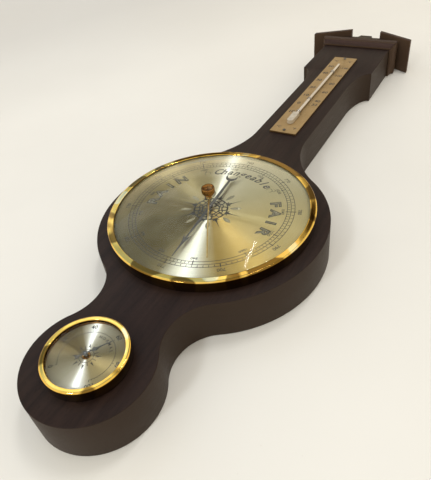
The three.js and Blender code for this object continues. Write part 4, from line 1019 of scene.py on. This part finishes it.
def print_compass_rose(dark):
    """Eight thorned rays round rings of scrollwork."""
    for i in range(8):
        angle = 45 * i
        wing = [(11, 15.0), (4.5, 14.3), (1.2, 17.0)]
        right = [clockwise(angle + across, radius) for across, radius in wing]
        left = [clockwise(angle - across, radius) for across, radius in reversed(wing)]
        foot = [clockwise(angle - 6, 12.9), clockwise(angle, 12.4), clockwise(angle + 6, 12.9)]
        dark.polygon([*right, clockwise(angle, 25.5), *left, *foot])
        x, y = clockwise(angle + 22.5, 10.3)
        dark.ring(2.1, 0.95, 0, 360, x, y)
        x, y = clockwise(angle, 8.4)
        dark.ring(1.3, 0.8, 0, 360, x, y)
        dark.tick(angle + 22.5, 3.4, 6.4, 1.0)
    dark.ring(6.4, 1.0)
    dark.ring(12.6, 0.9)


def print_main_dial():
    dark = Print()
    print_scales(dark)
    print_compass_rose(dark)
    dark.arched("RAIN", WORD_SIZE, WORD_RADIUS, 254, 307, bold=0.55, stretch=1.2)
    dark.arched("FAIR", WORD_SIZE, WORD_RADIUS, 56, 107, bold=0.55, stretch=1.2)
    dark.arched("Changeable", 10.0, 48.6, 333, 396, bold=0.16, shear=0.4, stretch=0.95)
    for side, swirl in ((-1, 327), (1, 400)):
        x, y = clockwise(swirl, 47.5)
        dark.ring(2.3, 0.3, swirl - 150, swirl + 120, x, y)
        x, y = clockwise(swirl + side * 2.5, 50.5)
        dark.ring(1.2, 0.3, swirl - 60, swirl + 200, x, y)
    dark.finish("main_dial_print", DIAL_TOP + 0.01, BAROMETER, dark_ink, "dial_metal")

    light = Print()
    light.arched("RAIN", WORD_SIZE, WORD_RADIUS, 254, 307, bold=-0.1, stretch=1.2)
    light.arched("FAIR", WORD_SIZE, WORD_RADIUS, 56, 107, bold=-0.1, stretch=1.2)
    light.finish("main_dial_inline", DIAL_TOP + 0.04, BAROMETER, grey_ink, "dial_metal")

    grey = Print()
    for i in range(8):
        angle = 22.5 + 45 * i
        side = [(2.6, 15.2), (4.9, 17.6), (4.4, 20.2), (2.0, 22.2)]
        right = [clockwise(angle + across, radius) for across, radius in side]
        left = [clockwise(angle - across, radius) for across, radius in reversed(side)]
        grey.polygon([clockwise(angle, 14.4), *right, clockwise(angle, 23.0), *left])
    grey.finish("main_dial_leaves", DIAL_TOP + 0.01, BAROMETER, grey_ink, "dial_metal")


def print_hygro_dial():
    dark = Print()
    dark.ring(16.7, 0.24, 225, 495)
    for i in range(51):
        long = i % 10 == 0
        dark.tick(225 + 5.4 * i, 16.7, 17.9 if long else 17.3, 0.32 if long else 0.22)
    for i in range(6):
        angle = 225 + 54 * i
        x, y = clockwise(angle, 20.3)
        dark.text(str(20 * i), 3.7, x, y, angle, bold=0.07)
    dark.arched("NORMAL", 2.6, 14.0, 350, 418, bold=0.06)
    for i in range(8):
        angle = 22.5 + 45 * i
        dark.polygon([clockwise(angle, 9.2), clockwise(angle + 7, 5.4), clockwise(angle, 6.2),
                      clockwise(angle - 7, 5.4)])
        dark.tick(angle + 22.5, 4.6, 7.0, 0.4)
    dark.ring(4.4, 0.3)
    dark.finish("hygro_dial_print", HYGRO_DIAL_TOP + 0.01, HYGROMETER, dark_ink, "hygro_dial_metal")


def print_thermometer():
    dark = Print()

    def at(celsius):
        return FREEZING_Y + celsius * TEN_DEGREES / 10

    for i in range(-10, 27):
        y = at(2 * i)
        if PLATE_BOTTOM + 30 < y < TUBE_TOP:
            dark.line((-2.4, y), (-4.2 if i % 5 == 0 else -3.3, y), 0.42 if i % 5 == 0 else 0.24)
    for i in range(-2, 64):
        y = at((2 * i - 32) / 1.8)
        if PLATE_BOTTOM + 30 < y < TUBE_TOP:
            dark.line((2.4, y), (4.2 if i % 5 == 0 else 3.3, y), 0.42 if i % 5 == 0 else 0.24)
    for celsius in range(-10, 60, 10):
        if PLATE_BOTTOM + 36 < at(celsius) < TUBE_TOP + 2:
            dark.text(str(abs(celsius)), 6.2, -8.2, at(celsius), bold=0.14)
    for fahrenheit in (32, 40, 60, 80, 100, 120):
        size = 6.0 if fahrenheit < 100 else 5.2
        dark.text(str(fahrenheit), size, 8.1, at((fahrenheit - 32) / 1.8), bold=0.13)
    for y in (PLATE_BOTTOM + 9, PLATE_TOP - 11):
        dark.text("°C", 4.4, -7.6, y, bold=0.08)
        dark.text("°F", 4.4, 7.6, y, bold=0.08)
    height = GAP + PLATE_THICKNESS + 0.01
    dark.finish("thermometer_print", height, BAROMETER, dark_ink, "plate_brass")


# ---- Thermometer ----
def laid_along_y(mesh):
    """Turns a mesh made about Z to lie along the thermometer's tube."""
    mesh.transform(Matrix.Rotation(-pi / 2, 4, "X"))
    mesh.transform(Matrix.Translation(BAROMETER + Vector((0, 0, TUBE_HEIGHT)) * MM))
    return mesh


def add_thermometer():
    outline = [(-PLATE_HALF, PLATE_BOTTOM), (PLATE_HALF, PLATE_BOTTOM), (PLATE_HALF, PLATE_TOP),
               (-PLATE_HALF, PLATE_TOP)]
    nails = [circle(0.9, 16, 0, y) for y in (PLATE_BOTTOM + NAIL_INSET, PLATE_TOP - NAIL_INSET)]
    face = GAP + PLATE_THICKNESS
    mesh = flat_piece("thermometer_plate_fine", [outline, *nails], GAP, face, BAROMETER, 0.12)
    piece("thermometer_plate_fine", mesh, ochre, "case", "thermometer_plate", slot="plate_brass")

    stem = [
        (TUBE_BORE, TUBE_BOTTOM), (TUBE_RADIUS, TUBE_BOTTOM), (TUBE_RADIUS, TUBE_TOP - 1.8),
        (TUBE_RADIUS * 0.93, TUBE_TOP - 0.9), (TUBE_RADIUS * 0.7, TUBE_TOP - 0.3), (0.6, TUBE_TOP),
        (0.0, TUBE_TOP), (0.0, TUBE_TOP - 2), (TUBE_BORE, TUBE_TOP - 2.6),
    ]
    mesh = laid_along_y(turned("thermometer_tube_fine", stem, ORIGIN, 40))
    piece("thermometer_tube_fine", mesh, tube_glass, "case", "thermometer_tube", slot="tube_glass")

    top = LIQUID_LEVEL - 1.2
    steps = 24
    column = [(0.0, TUBE_BOTTOM)]
    column += [(LIQUID_RADIUS, TUBE_BOTTOM + (top - TUBE_BOTTOM) * i / steps) for i in range(steps + 1)]
    column += [(0.0, top)]
    mesh = laid_along_y(turned("liquid_column_fine", column, ORIGIN, 16))
    thread = stretching("liquid_column_fine", mesh, liquid, "liquid_column")
    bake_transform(thread)


def stretching(name, mesh, material, node):
    obj = bpy.data.objects.new(name, mesh)
    bpy.context.scene.collection.objects.link(obj)
    mesh.materials.clear()
    mesh.materials.append(material)
    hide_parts(node)
    return obj


# ---- The rest of the CAD's own shapes ----
def add_softened():
    """CAD pieces whose shape is shown as it is, with soft edges: node names, finish, edge, slot."""
    for nodes, material, width, slot in (
        (["hanger_plate"], hanger_steel, 0.15, "hanger_steel"),
        (["hanger_screw_1", "hanger_screw_2"], steel, 0.1, "movement_steel"),
        (["main_can", "hygro_can"], tin, 0.2, "tinned_steel"),
        (["can_screw_1", "can_screw_2", "can_screw_3"], steel, 0.1, "movement_steel"),
        (["main_hand", "hygro_hand"], black, 0.06, "black_metal"),
        (["plate_nail_1", "plate_nail_2"], black, 0.1, "black_metal"),
        (["set_spindle", "set_bush", "hygro_bush", "hygro_glass_ring"], old_brass, 0.08, "polished_brass"),
        (["bulb_guard"], guard_enamel, 0.15, "guard_enamel"),
        (["tube_clip_1", "tube_clip_2", "tube_clip_3"], steel, 0.08, "movement_steel"),
        (["movement_base_plate", "rocker", "pinion_arbor", "hairspring"], steel, 0.06, "movement_steel"),
        (["hygro_arbor", "hygro_coil_post"], steel, 0.06, "movement_steel"),
        (["movement_plate", "movement_bridge", "plate_pillar_1", "plate_pillar_2", "plate_pillar_3",
          "bridge_pillar_1", "bridge_pillar_2", "rocker_bracket_1", "rocker_bracket_2", "sector_gear",
          "capsule_stud", "adjusting_screw"], works_brass, 0.08, "movement_brass"),
        (["hygro_coil"], coil_metal, 0.05, "bimetal"),
        (["thermometer_bulb", "liquid_meniscus"], liquid, 0.05, "thermometer_liquid"),
    ):
        for node in nodes:
            softened(node, material, width, slot)
    for node, material, slot in (
        ("aneroid_capsule", tin, "tinned_steel"),
        ("mainspring", steel, "movement_steel"),
    ):
        obj = stretching(node + "_fine", welded_copy(node), material, node)
        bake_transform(obj)


# ---- Table, light and camera ----
def add_table():
    shape = bmesh.new()
    steps = 40
    half = 3000
    bmesh.ops.create_grid(shape, x_segments=steps, y_segments=steps, size=half)
    mesh = to_mesh("table_top", shape, Vector((0, 0, -0.0003)))
    mesh.materials.append(table_top())
    obj = bpy.data.objects.new("table_top", mesh)
    bpy.context.scene.collection.objects.link(obj)


def add_lamp(name, direction, distance, size, power, tint, roll=0.0):
    """A soft oblong lamp aimed at the barometer's dial, turned about its own line by roll degrees."""
    data = bpy.data.lights.new(name, "AREA")
    data.shape = "RECTANGLE"
    data.size, data.size_y = size
    data.energy = power
    data.color = tint
    lamp = bpy.data.objects.new(name, data)
    toward = Vector(direction).normalized()
    lamp.location = BAROMETER + toward * distance
    lamp.rotation_mode = "QUATERNION"
    lamp.rotation_quaternion = toward.to_track_quat("Z", "Y") @ Quaternion((0, 0, 1), radians(roll))
    bpy.context.scene.collection.objects.link(lamp)


def add_room():
    """A pale room, warmer low down, with a dim part that holds bright and dark patches."""
    world = bpy.data.worlds.new("room")
    bpy.context.scene.world = world
    world.use_nodes = True
    room = Wiring(world.node_tree)
    direction = room.add("ShaderNodeTexCoord").outputs["Generated"]
    height = room.add("ShaderNodeSeparateXYZ", {0: direction}).outputs["Z"]
    walls = room.ramp(height, [
        (0.0, (1.2, 0.94, 0.56, 1)), (0.16, (1.1, 0.92, 0.62, 1)), (0.42, (0.9, 0.84, 0.72, 1)),
        (1.0, (0.84, 0.84, 0.8, 1)),
    ])
    toward = {0: direction, 1: Vector((-0.44, 0.58, 0.68)).normalized()}
    nearness = room.add("ShaderNodeVectorMath", toward, operation="DOT_PRODUCT").outputs["Value"]
    dimness = room.span(nearness, 0.78, 0.93, 0.0, 0.72)
    walls = room.mix(dimness, walls, (0.16, 0.13, 0.1, 1))
    patches = room.noise(direction, 7.0, 1.0)
    among = room.span(nearness, 0.84, 0.92)
    dark = room.math("MULTIPLY", room.span(patches, 0.46, 0.49, 0.95, 0.0), among)
    walls = room.mix(dark, walls, (0.05, 0.03, 0.012, 1))
    bright = room.math("MULTIPLY", room.span(patches, 0.55, 0.57), among)
    walls = room.mix(bright, walls, (1.0, 0.92, 0.8, 1))
    room.feed(room.tree.nodes["Background"], {"Color": walls, "Strength": 1.12})


def add_camera():
    data = bpy.data.cameras.new("camera")
    data.lens = 36.48
    data.sensor_width = 36
    data.clip_start = 0.01
    data.clip_end = 20
    camera = bpy.data.objects.new("camera", data)
    right = Vector((0.86307, 0.49281, -0.11065))
    up = Vector((-0.25399, 0.61283, 0.74828))
    back = Vector((0.43657, -0.61772, 0.65409))
    camera.rotation_mode = "QUATERNION"
    camera.rotation_quaternion = Matrix((right, up, back)).transposed().to_quaternion()
    camera.location = (0.16693, -0.33839, 0.25737)
    bpy.context.scene.collection.objects.link(camera)
    bpy.context.scene.camera = camera


add_case()
add_cornice()
add_roof()
add_main_housing()
add_set_hand()
add_hygrometer()
add_thermometer()
add_softened()
print_main_dial()
print_hygro_dial()
print_thermometer()
add_table()
# The window lights the table, the doorway makes the dials' cones, the strip makes the glass's streak.
add_lamp("window", (-0.66, 0.34, 0.67), 1.8, (1.3, 1.3), 4.2, (0.5, 0.7, 1.0))
add_lamp("doorway", (-0.12, -0.75, 0.65), 1.6, (0.2, 0.2), 5.6, (0.9, 0.96, 1.0))
add_lamp("strip", (0.062, 0.326, 0.943), 1.6, (0.045, 0.42), 4.5, (1.0, 1.0, 1.0), 20)
add_room()
add_camera()
bpy.context.scene.view_settings.view_transform = "Standard"
